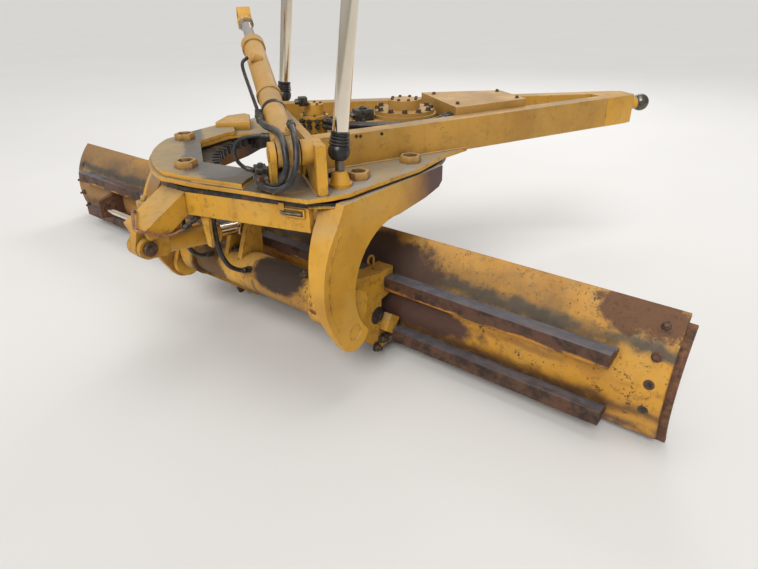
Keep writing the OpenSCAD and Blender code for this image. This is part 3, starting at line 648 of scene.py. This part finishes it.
def at(point, z=(0, 0, 1), x=None):
    """A frame at that point whose Z looks along z."""
    z = Vector(z).normalized()
    hint = Vector(x) if x else (Vector((1, 0, 0)) if abs(z.x) < 0.9 else Vector((0, 1, 0)))
    y = z.cross(hint).normalized()
    return Matrix.Translation(point) @ Matrix((y.cross(z), y, z)).transposed().to_4x4()


def curve_points(points, per=8):
    """A smooth run through the points (Catmull-Rom)."""
    p = [Vector(q) for q in points]
    p = [2 * p[0] - p[1], *p, 2 * p[-1] - p[-2]]
    made = []
    for i in range(1, len(p) - 2):
        for k in range(per):
            t = k / per
            bend = (2 * p[i - 1] - 5 * p[i] + 4 * p[i + 1] - p[i + 2]) * t * t
            twist = (3 * p[i] - p[i - 1] - 3 * p[i + 1] + p[i + 2]) * t ** 3
            made.append(0.5 * (2 * p[i] + (p[i + 1] - p[i - 1]) * t + bend + twist))
    return [*made, p[-2]]


class Piece:
    """One piece, gathered in the row frame and then set on its body."""

    def __init__(self, name, body, material, slot):
        self.name, self.body, self.material, self.slot = name, body, MATERIALS[material], slot
        self.bm = bmesh.new()

    def rings(self, rings, closed_ends=True):
        """Skins a row of rings of points."""
        rows = [[self.bm.verts.new(p) for p in ring] for ring in rings]
        n = len(rows[0])
        for a, b in zip(rows, rows[1:]):
            for i in range(n):
                self.bm.faces.new((a[i], a[(i + 1) % n], b[(i + 1) % n], b[i]))
        if closed_ends:
            self.bm.faces.new(list(reversed(rows[0])))
            self.bm.faces.new(rows[-1])

    def turned(self, place, profile, sides, hollow=False):
        """A body of revolution about the place's Z from (radius, height) pairs; hollow makes it a ring."""
        turns = [2 * pi * i / sides for i in range(sides)]
        rings = []
        for r, h in profile:
            r = max(r, NARROWEST)
            rings.append([place @ Vector((r * cos(a), r * sin(a), h)) for a in turns])
        self.rings([*rings, rings[0]] if hollow else rings, not hollow)

    def boss(self, place, r, shoulder, tip, top, sides=24):
        """A round or hexagon boss: r wide up to its shoulder, then drawn in to tip at its top."""
        self.turned(place, [(r, 0), (r, shoulder), (tip, top)], sides)

    def clamp(self, place, inside, outside, height, edge):
        """A ring with sloped edges that lies round a cylinder."""
        profile = [(inside, 0), (outside, edge), (outside, height - edge), (inside, height)]
        self.turned(place, profile, 48, True)

    def slab(self, place, outline, height, edge=0.002):
        """A plate with that outline and softened top and bottom edges."""
        n = len(outline)
        middle = Vector((sum(p[0] for p in outline) / n, sum(p[1] for p in outline) / n))
        span = max((Vector(p) - middle).length for p in outline)
        rings = []
        for inset, h in ((edge, 0), (0, edge), (0, height - edge), (edge, height)):
            grow = 1 - inset / span
            rings.append([place @ Vector((*(middle + (Vector(p) - middle) * grow), h)) for p in outline])
        self.rings(rings)

    def box(self, place, size, edge):
        """A block that stands on the place's origin."""
        x, y, z = size
        self.slab(place, [(-x / 2, -y / 2), (x / 2, -y / 2), (x / 2, y / 2), (-x / 2, y / 2)], z, edge)

    def bolt(self, place, r, stud=0.0, washer=True):
        """A hexagon head or nut on a washer, with an optional threaded end."""
        start = 0.0
        if washer:
            self.turned(place, [(r * 1.45, 0), (r * 1.45, r * 0.2), (r * 1.35, r * 0.25)], 20)
            start = r * 0.2
        top = start + r * 1.25
        self.turned(place, [(r * 1.12, start), (r * 1.12, top - r * 0.22), (r * 0.92, top)], 6)
        if stud:
            ridges = [(r * (0.6 if i % 2 else 0.54), top + stud * i / 8) for i in range(8)]
            self.turned(place, [(r * 0.6, start), *ridges, (r * 0.45, top + stud)], 12)

    def tube(self, points, r, sides=12, per=8, ripple=0.0):
        """A round bar along a smooth run; ripple makes it the bead of a weld."""
        path = curve_points(points, per) if len(points) > 2 else [Vector(p) for p in points]
        side = None
        rings = []
        for i, p in enumerate(path):
            ahead = (path[min(i + 1, len(path) - 1)] - path[max(i - 1, 0)]).normalized()
            if side is None:
                side = ahead.orthogonal().normalized()
            side = (side - ahead * side.dot(ahead)).normalized()
            other = ahead.cross(side)
            size = r * (1 + ripple * sin(i * 2.4))
            rings.append([p + size * (cos(a) * side + sin(a) * other)
                          for a in (2 * pi * k / sides for k in range(sides))])
        self.rings(rings)

    def bead(self, points, r=0.006):
        """A weld bead of small overlapping scales along a run of points."""
        p = [Vector(q) for q in points]
        run = []
        for a, b in zip(p, p[1:]):
            n = max(3, int((b - a).length / (r * 1.1)))
            run += [a.lerp(b, i / n) for i in range(n)]
        self.tube([*run, p[-1]], r, 6, 1, 0.16)

    def fitting(self, point, way, r):
        """Crimped ferrule and swivel nut of a hose that leaves the point along way."""
        place = at(point, way)
        self.turned(place, [(r * 0.8, -0.004), (r * 1.5, 0), (r * 1.5, r * 1.3), (r * 1.1, r * 1.4)], 6)
        ribs = [(r * (1.38 if i % 2 else 1.27), r * 1.4 + i * r * 0.35) for i in range(8)]
        self.turned(place, [(r * 1.1, r * 1.35), *ribs, (r, r * 4.3)], 18)

    def done(self, angle=40):
        """Makes the object, smooth but for edges sharper than that angle, and sets it on its body."""
        mesh = bpy.data.meshes.new(self.name)
        bmesh.ops.recalc_face_normals(self.bm, faces=self.bm.faces)
        self.bm.to_mesh(mesh)
        self.bm.free()
        mesh.shade_smooth()
        mesh.set_sharp_from_angle(angle=radians(angle))
        mesh.materials.append(self.material)
        made = add_object(self.name, mesh)
        if self.body:
            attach(made, self.body)
        return made


def ring_of(centre, radius, count, phase):
    """Points evenly round a centre, the first at that angle."""
    for i in range(count):
        a = radians(phase) + 2 * pi * i / count
        yield Vector(centre) + radius * Vector((cos(a), sin(a), 0))


def add_hose(name, points, r, ends, blend=None):
    """A rubber hose with a crimped fitting at each end; ends names the bodies that carry them.

    A hose between two bodies has blend, and then rides on no body; what blend holds, the two bodies and two
    heights for the ends of a bend, is not used.
    """
    run = Piece(name, None if blend else ends[0], "hose", "boot_rubber")
    run.tube(points, r, 14)
    made = run.done()
    if blend:
        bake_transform(made)
    path = curve_points(points)
    for tag, first, second, body in (("start", *path[:2], ends[0]), ("end", *path[:-3:-1], ends[1])):
        fitting = Piece(f"{name}_{tag}", body, "fitting", "bare_steel")
        fitting.fitting(first, second - first, r)
        fitting.done()


def on_lift(side, s):
    """The frame on a lift cylinder's axis, s along it from its ball."""
    x, y, z = LIFT_BALL
    ball = Matrix.Translation((x, side * y, z))
    return ball @ Matrix.Rotation(LIFT_LEAN, 4, "Y") @ Matrix.Translation((0, 0, s))


# Pieces on the drawbar


def add_drawbar_details():
    """Bolts, welds and plugs, the brace over both rails and the raised box on the deck."""
    bolts = Piece("gearbox_bolts", "drawbar", "bolt", "grease")
    for centre, radius, count, phase, r, washer in (
        ((GEARBOX_X, 0, 0.062), 0.131, 12, 12, 0.011, True),
        ((GEARBOX_X, 0, 0.106), 0.062, 8, 0, 0.007, False),
        ((SWIVEL.x, SWIVEL.y, 0.055), 0.056, 6, 20, 0.0055, False),
        ((SWIVEL.x, SWIVEL.y, 0.105), 0.033, 5, 0, 0.006, False),
    ):
        for p in ring_of(centre, radius, count, phase):
            bolts.bolt(at(p), r, washer=washer)
    for y in (-0.07, 0.07):
        for x in (-1.62, -1.49):
            bolts.bolt(at((x, y, 0.028)), 0.009)
    for x, y in ((-0.835, 0.105), (-1.175, 0.15)):
        for side in (-1, 1):
            bolts.bolt(at((x, side * y, 0.092)), 0.008)
    bolts.done()

    def rail_y(x, side, inner):
        half = RAIL_OUTSIDE - x * tan(RAIL_ANGLE)
        return side * (half - (RAIL_ACROSS if inner else 0))

    beads = Piece("drawbar_welds", "drawbar", "rail", "paint_worn")
    for side in (1, -1):
        for inner in (False, True):
            beads.bead([(x, rail_y(x, side, inner), DECK_Z) for x in (-1.99, -1.2)], 0.007)
    for x in (-1.989, -1.949):
        beads.bead([(x, -0.655, DECK_Z), (x, -0.765, DECK_Z)])
    beads.bead([(-1.989, -0.655, DECK_Z), (-1.989, -0.47, DECK_Z)])
    cut = [(-2.423, -0.416), (-2.28, -0.542), (-2.242, -0.578), (-2.222, -0.53), (-2.19, -0.48)]
    beads.bead([(x, y, DECK_Z) for x, y in cut], 0.006)
    beads.done()

    brace = Piece("cross_brace", "drawbar", "rail", "paint_dusty")
    shape = [(-0.636, 0.088), (0.455, 0.076), (0.455, 0.0573), (-0.47, 0.0573), (-0.52, 0.02), (-0.6, 0.02)]
    brace.slab(at((-1.986, 0, 0), (1, 0, 0), (0, 1, 0)), shape, 0.034)
    brace.bead([(-1.989, 0.37, 0.058), (-1.989, 0.452, 0.058)], 0.005)
    brace.bead([(-1.989, -0.452, 0.058), (-1.989, -0.37, 0.058)], 0.005)
    brace.done()

    box = Piece("yoke_box", "drawbar", "rail", "paint_dusty")
    shape = [(-2.28, 0.478), (-2.205, 0.64), (-2.11, 0.668), (-2.085, 0.62), (-2.105, 0.44)]
    box.slab(at((0, 0, DECK_Z - 0.001), (0, 0, 1), (1, 0, 0)), shape, 0.049, 0.004)
    box.done()

    plugs = Piece("deck_plugs", "drawbar", "grease", "grease")
    out = Vector((sin(RAIL_ANGLE), -cos(RAIL_ANGLE), 0))
    for p in ((-1.747, -0.4166, 0.044), (-1.728, -0.4126, 0.042), (-1.629, -0.3917, 0.04)):
        plugs.boss(at(Vector(p) - out * 0.003, out), 0.007, 0.0042, 0.003, 0.0034, 20)
    plugs.bolt(at((-1.885, -0.544, DECK_Z)), 0.015, washer=False)
    plugs.done()


def add_shoe_caps():
    """The caps over the circle's guide shoes: thick hexagons with a deep hexagon socket and a bolt in it."""
    wall = [(0.048, 0), (0.048, 0.026), (0.0455, 0.0305), (0.0335, 0.0305), (0.0325, 0.028), (0.0325, 0.006)]
    for side, tag in ((-1, "right"), (1, "left")):
        caps = Piece(f"shoe_sockets_{tag}", "drawbar", "cap", "paint_dusty")
        bolts = Piece(f"shoe_socket_bolts_{tag}", "drawbar", "bolt", "rust")
        for angle, away, low in SHOES:
            a = radians(side * angle)
            place = at((CIRCLE_X + away * cos(a), away * sin(a), low - 0.001), (0, 0, 1))
            caps.turned(place, [*wall, (0.0, 0.006)], 6)
            bolts.turned(place, [(0.031, 0.004), (0.031, 0.0065), (0.029, 0.007), (0.0, 0.007)], 24)
            bolts.bolt(place @ Matrix.Translation((0, 0, 0.007)), 0.012, washer=False)
        caps.done()
        bolts.done()
    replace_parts(bpy.data.objects["shoe_sockets_right"], "shoe_caps")


def add_swivel_plumbing():
    """The oil swivel's ports, and the hoses from it along the right rail to the hose cover."""
    ports = Piece("swivel_ports", "drawbar", "fitting", "bare_steel")
    ports.box(at((SWIVEL.x - 0.058, 0.005, 0.106)), (0.038, 0.04, 0.04), 0.003)
    ports.boss(at((SWIVEL.x - 0.077, 0.005, 0.126), (-1, 0, 0)), 0.014, 0.01, 0.011, 0.018, 6)
    for a in (200, 235, 270, 305, 340):
        way = Vector((cos(radians(a)), sin(radians(a)), 0))
        for level in (0.008, 0.034):
            start = SWIVEL + way * 0.056 + Vector((0, 0, level))
            ports.turned(at(start, way), [(0.012, 0), (0.012, 0.014), (0.01, 0.017), (0.01, 0.024)], 6)
    ports.done()
    for i in range(4):
        lane, level = i % 2, i // 2
        z = 0.003 + 0.027 * level
        a = radians(305 + 35 * lane)
        start = SWIVEL + Vector((cos(a), sin(a), 0)) * 0.08 + Vector((0, 0, 0.008 + 0.026 * level))
        run = [
            start, (-1.725 + 0.03 * lane, -0.085 - 0.02 * (1 - lane), z), (-1.6, -0.185 + 0.028 * lane, z),
            (-1.46, -0.222 + 0.028 * lane, z), (-1.33, -0.22 + 0.028 * lane, z + 0.004),
            (-1.25, -0.196 + 0.03 * lane, z + 0.014), (-1.216, -0.19 + 0.034 * lane, z + 0.018),
        ]
        add_hose(f"rail_hose_{i + 1}", run, 0.0105, ("drawbar", "drawbar"))
    motor = Piece("motor_block", "drawbar", "fitting", "bare_steel")
    motor.box(at((-1.609, -0.03, 0.027)), (0.09, 0.062, 0.052), 0.004)
    motor.boss(at((-1.609, -0.03, 0.078)), 0.019, 0.008, 0.012, 0.013, 6)
    for y in (-0.044, -0.014):
        motor.boss(at((-1.652, y, 0.055), (-1, 0, 0)), 0.012, 0.012, 0.009, 0.02, 6)
    motor.done()


# The centre shift cylinder's hoses: name, radius and route

SHIFT_HOSES = (
    ("shift_hose_long", 0.0115, (
        (-2.138, -0.45, 0.163), (-2.138, -0.5, 0.15), (-2.128, -0.57, 0.144), (-2.108, -0.64, 0.146),
        (-2.097, -0.695, 0.139), (-2.093, -0.747, 0.112), (-2.095, -0.775, 0.045), (-2.112, -0.75, -0.017),
        (-2.135, -0.712, -0.04), (-2.155, -0.662, -0.047), (-2.156, -0.592, -0.04))),
    ("shift_hose_back", 0.011, (
        (-2.047, -0.632, 0.162), (-2.05, -0.678, 0.16), (-2.052, -0.73, 0.138), (-2.056, -0.774, 0.095),
        (-2.067, -0.796, 0.04), (-2.092, -0.791, -0.01), (-2.128, -0.763, -0.037), (-2.16, -0.718, -0.045),
        (-2.177, -0.66, -0.044), (-2.178, -0.592, -0.04))),
    ("shift_hose_short", 0.0075, (
        (-2.118, -0.555, 0.106), (-2.15, -0.545, 0.108), (-2.185, -0.533, 0.105), (-2.2175, -0.518, 0.0963),
        (-2.2413, -0.506, 0.0725), (-2.25, -0.5, 0.04), (-2.2413, -0.502, 0.0075),
        (-2.2175, -0.511, -0.0163), (-2.187, -0.524, -0.026))),
)


def add_shift_hoses():
    """The centre shift cylinder's pipe, ports and hoses, with their block on the deck."""
    block = Piece("shift_port_block", "drawbar", "fitting", "grease")
    block.box(at((-2.163, -0.545, REAR_DECK_Z)), (0.046, 0.074, 0.052), 0.003)
    block.bolt(at((-2.163, -0.545, REAR_DECK_Z + 0.052)), 0.009)
    block.slab(at((-2.175, -0.655, REAR_DECK_Z), (0.35, -0.93, 0), (0.93, 0.35, 0)),
               [(-0.022, 0), (0.022, 0), (0.006, 0.046), (-0.006, 0.046)], 0.006, 0.001)
    block.done()
    ports = Piece("shift_ports", "shift_barrel", "paint_clean", "paint_dusty")
    ports.boss(at(on_shift(0.65, 0, 0.04), (-0.9, -0.14, 0.4)), 0.022, 0.034, 0.018, 0.038)
    ports.boss(at(on_shift(0.075, 0.02, 0.034), (0.3, -0.3, 0.9)), 0.018, 0.02, 0.015, 0.023)
    for s in (0.055, 0.835):
        ports.clamp(at(on_shift(s), SHIFT_WAY), 0.044, 0.049, 0.014, 0.002)
    ports.done()
    pipe = Piece("shift_pipe", "shift_barrel", "grease", "grease")
    run = [on_shift(0.65, -0.05, 0.052), on_shift(0.632, -0.074, 0.04), on_shift(0.6, -0.076, 0.02),
           on_shift(0.45, -0.069, 0.01), on_shift(0.32, -0.064, 0.008), on_shift(0.262, -0.063, 0.008)]
    pipe.tube(run, 0.007)
    pipe.clamp(at(on_shift(0.285), SHIFT_WAY), 0.044, 0.0475, 0.02, 0.001)
    pipe.box(at(on_shift(0.295, -0.058, -0.008), SHIFT_WAY, SHIFT_UP), (0.03, 0.03, 0.012), 0.002)
    pipe.done()
    for name, r, points in SHIFT_HOSES:
        middle = Vector(points[len(points) // 2])
        low, high = Vector((middle.x, middle.y, 0.0)), Vector((middle.x, middle.y, 0.085))
        add_hose(name, points, r, ("shift_barrel", "drawbar"), ("drawbar", "shift_barrel", low, high))
    for i in range(3):
        shift = 0.024 * i
        run = [(-2.163 + shift * 0.8, -0.508, -0.034), (-2.125 + shift, -0.4, -0.06 + 0.001 * i),
               (-2.02 + shift, -0.27, -0.066), (-1.935 + shift * 0.8, -0.13, -0.056),
               (-1.88 + shift * 0.8, -0.035, -0.028)]
        add_hose(f"deck_hose_{i + 1}", run, 0.0095, ("drawbar", "drawbar"))


def add_lift_details():
    """Rubber boots over the ball joints, glands, pipes and ports of the lift cylinders."""
    for side, tag in ((1, "left"), (-1, "right")):
        boot = Piece(f"ball_boot_{tag}", f"lift_rod_{tag}", "boot", "boot_rubber")
        bulb = [(0.0415 * cos(radians(a)), 0.0415 * sin(radians(a)))
                for a in range(-48, 40, 8)]
        neck = [(0.0325 + 0.0025 * sin(i * 2.1) + 0.0006 * (12 - i), 0.026 + 0.0038 * i)
                for i in range(13)]
        place = on_lift(side, 0)
        boot.turned(place, [(0.018, -0.031), *bulb, *neck, (0.0305, 0.075)], 40)
        boot.turned(place, [(0.031, 0.066), (0.035, 0.067), (0.035, 0.072), (0.031, 0.073)], 40, True)
        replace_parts(boot.done(60), f"lift_boot_{tag}")

        gland = Piece(f"lift_gland_{tag}", f"lift_barrel_{tag}", "grease", "grease")
        lip = [(0.0308, 0), (0.04, 0.002), (0.045, 0.009), (0.045, 0.012), (0.0308, 0.012)]
        gland.turned(on_lift(side, 0.56), lip, 48, True)
        for a in range(0, 360, 45):
            spin = Matrix.Rotation(radians(a), 4, "Z")
            slot = on_lift(side, 0.59) @ spin @ Matrix.Translation((0.065, 0, 0))
            way = slot.to_3x3() @ Vector((1, 0, 0))
            gland.boss(at(slot.translation, way), 0.006, 0.001, 0.004, 0.0012, 12)
        gland.done()

        pipe = Piece(f"lift_pipe_{tag}", f"lift_barrel_{tag}", "paint", "paint_worn")
        turn = Matrix.Rotation(radians(-125 * side), 4, "Z")

        def by_barrel(s, away):
            return (on_lift(side, s) @ turn @ Matrix.Translation((away, 0.0, 0))).translation

        pipe.tube([by_barrel(s, away) for s, away in (
            (0.66, 0.052), (0.66, 0.078), (0.69, PIPE_OFF), (0.95, PIPE_OFF),
            (1.3, PIPE_OFF), (1.63, PIPE_OFF), (1.66, 0.078), (1.665, 0.052))], 0.008)
        for s in (0.66, 1.665):
            pipe.boss(at(by_barrel(s, 0.051), by_barrel(s, 1) - by_barrel(s, 0)), 0.021, 0.018, 0.016, 0.022)
        for s in (0.86, 1.45):
            pipe.clamp(on_lift(side, s), 0.056, 0.0605, 0.022, 0.001)
            along, across = on_lift(side, 0).to_3x3() @ Vector((0, 0, 1)), by_barrel(s, 1) - by_barrel(s, 0)
            pipe.box(at(by_barrel(s + 0.003, 0.075), along, across), (0.038, 0.018, 0.016), 0.002)
        pipe.done()


# Pieces on the circle and the tilt frame


def add_circle_details():
    """Welds, the lock pin with its holder, the valve block with its pipe and hose, and the beam's strut."""
    beads = Piece("circle_welds", "circle", "paint_turned", "paint_worn")
    for side in (1, -1):
        beads.bead([circ(-0.541, side * 0.566, ARM_WELD_Z), circ(-0.604, side * 0.488, ARM_WELD_Z)], 0.006)
        crease = [(-0.264 + 0.382 * cos(radians(a)), -0.44 + 0.382 * sin(radians(a)))
                  for a in range(142, 214, 6)]
        beads.bead([circ(u, side * ARM_FACE, z) for u, z in crease], 0.0025)
    beads.done()

    along = (Vector((-0.759, 0.067, 0)) - Vector((-0.602, -0.488, 0))).normalized()
    out = circ_dir(-along.y, along.x, 0)
    beam = circ_dir(*along)
    start = circ(-0.602, -0.488, -0.15)

    def on_beam(s, z):
        return start + beam * s + Vector((0, 0, z))

    holder = Piece("lock_holder", "circle", "paint_turned", "paint_worn")
    for s0, s1, z0, z1 in ((0.02, 0.1, 0.012, 0.017), (0.02, 0.1, -0.017, -0.012),
                           (0.016, 0.022, -0.017, 0.017)):
        middle = on_beam((s0 + s1) / 2, (z0 + z1) / 2)
        holder.box(at(middle, out, beam), (s1 - s0, z1 - z0, 0.009), 0.001)
    holder.box(at(on_beam(0.115, 0.018), out, beam), (0.024, 0.03, 0.006), 0.001)
    holder.done()
    pin = Piece("lock_pin", "circle", "steel", "bare_steel")
    pin.tube([on_beam(0.115, -0.004) + out * 0.008, on_beam(0.028, -0.002) + out * 0.008], 0.005, 10)
    pin.bolt(at(on_beam(0.115, -0.004), out), 0.008, washer=False)
    pin.done()

    block = Piece("valve_block", "circle", "dark_paint", "paint_dark")
    flat = TURN @ Matrix.Translation((0, 0, -0.29))
    block.slab(flat, [(-0.832, 0.224), (-0.7545, 0.224), (-0.6985, 0.322), (-0.832, 0.322)], 0.092, 0.003)
    for v in (0.25, 0.296):
        block.boss(at(circ(-0.805, v, -0.199)), 0.015, 0.018, 0.012, 0.022)
        for z in (-0.222, -0.266):
            block.boss(at(circ(-0.831, v, z), circ_dir(-1, 0, 0)), 0.014, 0.006, 0.011, 0.009, 6)
    block.done()
    pipe = Piece("valve_pipe", "circle", "pipe", "bare_steel")
    route = [(-0.843, 0.27, -0.217), (-0.887, 0.235, -0.209), (-0.927, 0.18, -0.19),
             (-0.965, 0.12, -0.215), (-0.994, 0.065, -0.215), (-0.989, 0.044, -0.222),
             (-0.955, 0.044, -0.237), (-0.924, 0.044, -0.256), (-0.892, 0.044, -0.272),
             (-0.846, 0.044, -0.278), (-0.8, 0.044, -0.271)]
    pipe.tube([circ(*p) for p in route], 0.006)
    pipe.boss(at(circ(-0.832, 0.27, -0.217), circ_dir(-1, 0, 0)), 0.013, 0.014, 0.01, 0.02, 6)
    pipe.done()
    run = [circ(-0.8, 0.044, -0.271), circ(-0.768, 0.044, -0.258), circ(-0.722, 0.044, -0.238)]
    add_hose("valve_hose", run, 0.009, ("circle", "circle"))
    strut = Piece("beam_strut", "circle", "paint_turned", "paint_worn")
    strut.slab(TURN @ at((-0.722, 0, 0), (1, 0, 0), (0, 1, 0)),
               [(0.033, -0.22), (-0.027, -0.22), (-0.021, -0.366), (0.009, -0.366)], 0.012)
    strut.done()


# The hoses to the tilt frame: name, v, and route in u and z

TILT_HOSES = (
    ("tilt_hose_left", 0.25, (
        (-0.668, -0.226), (-0.672, -0.27), (-0.672, -0.33), (-0.676, -0.4),
        (-0.662, -0.462), (-0.63, -0.501), (-0.585, -0.52), (-0.545, -0.524))),
    ("tilt_hose_right", 0.0, (
        (-0.688, -0.226), (-0.684, -0.3), (-0.68, -0.38), (-0.664, -0.44),
        (-0.64, -0.485), (-0.605, -0.516), (-0.568, -0.536), (-0.531, -0.543))),
)


def add_tilt_details():
    """Hoses from the circle to the tilt frame, and the hardware on its tube and slide brackets."""
    for name, v, route in TILT_HOSES:
        points = [circ(u, v, z) for u, z in route]
        middle = points[3]
        span = (Vector((middle.x, middle.y, -0.33)), Vector((middle.x, middle.y, -0.5)))
        add_hose(name, points, 0.0105, ("circle", "tilt_frame"), ("circle", "tilt_frame", *span))

    bolts = Piece("bracket_bolts", "tilt_frame", "bolt", "rust")
    shims = Piece("bracket_shims", "tilt_frame", "steel", "bare_steel")
    for side in (-1, 1):
        face = side * JAW_FACE
        for u, z in ((-0.235, -0.925), (-0.19, -0.9)):
            bolts.bolt(at(circ(u, face, z), circ_dir(0, side, 0)), 0.017, 0.012)
    turn = TURN @ Matrix.Translation((-0.155, -JAW_FACE, -0.82)) @ Matrix.Rotation(radians(35), 4, "Y")
    stop = Piece("bracket_stop", "tilt_frame", "paint_turned", "paint_worn")
    stop.box(turn @ at((0, -0.02, -0.045), (0, 0, 1), (1, 0, 0)), (0.07, 0.046, 0.085), 0.004)
    stop.done()
    for i in range(5):
        place = turn @ at((0.037 + 0.0045 * i, -0.02, -0.04), (1, 0, 0), (0, 1, 0))
        shims.box(place, (0.042, 0.078, 0.003), 0.0006)
    for angle, v in ((100, -0.3), (100, 0.16)):
        p, n = on_tube(angle, v, -0.001)
        bolts.boss(at(p, n), 0.022, 0.01, 0.016, 0.014)
        bolts.boss(at(p + n * 0.014, n), 0.008, 0.006, 0.004, 0.012, 10)
    bolts.done()
    shims.done()
    cap = Piece("side_barrel_cap", "tilt_frame", "grease", "grease")
    dish = [(0.038, 0), (0.043, 0.002), (0.043, 0.014), (0.034, 0.02), (0.018, 0.021), (0.016, 0.016)]
    cap.turned(at(circ(-0.217, -0.476, -0.763), circ_dir(0, -1, 0)), dish, 40)
    cap.done()
    hook = Piece("bracket_hook", "tilt_frame", "paint_turned", "paint_worn")
    ring = [(-0.196 + 0.02 * cos(radians(a)), -0.5 + 0.02 * sin(radians(a)))
            for a in range(-20, 250, 18)]
    hook.tube([circ(u, -0.44, z) for u, z in [(-0.18, -0.552), (-0.178, -0.53), *ring]], 0.005, 12, 3)
    hook.done()

    pins = Piece("tip_pins", "circle", "bolt", "grease")
    for side in (-1, 1):
        face = 0.14 + side * 0.0535
        place = at(circ(-0.935, face, -0.325), circ_dir(0, side, 0))
        pins.boss(place, 0.03, 0.006, 0.027, 0.009, 32)
        pins.turned(place, [(0.009, 0.008), (0.009, 0.012), (0.005, 0.014)], 6)
    pins.done()


# Pieces on the blade


def add_blade_details():
    """Bolts and empty holes of the end bits, and the cutting edge's bolts with their heads in front."""
    bolts = Piece("end_bolts", "moldboard", "bolt", "rust")
    holes = Piece("end_holes", "moldboard", "grease", "grease")
    for side, angles, empty in ((-1, (142.8, 157.8), (172.4, 187.6)), (1, (170.4, 182.8, 196.1), (155.0,))):
        for a in angles:
            p, n = on_back(a, side * END_BOLT_V)
            bolts.bolt(at(p - n * 0.001, n), 0.014, 0.016)
        for a in empty:
            p, n = on_back(a, side * END_BOLT_V)
            holes.boss(at(p - n * 0.002, n), 0.013, 0.0026, 0.004, 0.0024)
            rim = [(0.0205, 0), (0.02, 0.0014), (0.014, 0.0018), (0.0132, 0.0005)]
            bolts.turned(at(p - n * 0.001, n), rim, 24)
    for i in range(26):
        v = (i - 12.5) * EDGE_BOLT_STEP
        p, n = on_back(203.0, v)
        bolts.bolt(at(p - n * 0.001, n), 0.013, 0.01)
        p, n = on_back(203.0, v, -0.022 - 0.019)  # through the plate and the edge
        bolts.turned(at(p + n * 0.0005, -n), [(0.014, 0), (0.013, 0.0018), (0.009, 0.0024)], 20)
    bolts.done()
    holes.done()


def main():
    add_camera()
    MATERIALS.update(make_materials())
    add_world()
    add_floor()
    for lamp in LAMPS:
        add_lamp(*lamp)
    dress_cad()
    for add in (add_drawbar_details, add_shoe_caps, add_swivel_plumbing, add_shift_hoses, add_lift_details,
                add_circle_details, add_tilt_details, add_blade_details):
        add()
    bpy.context.scene.view_settings.view_transform = "Standard"


main()
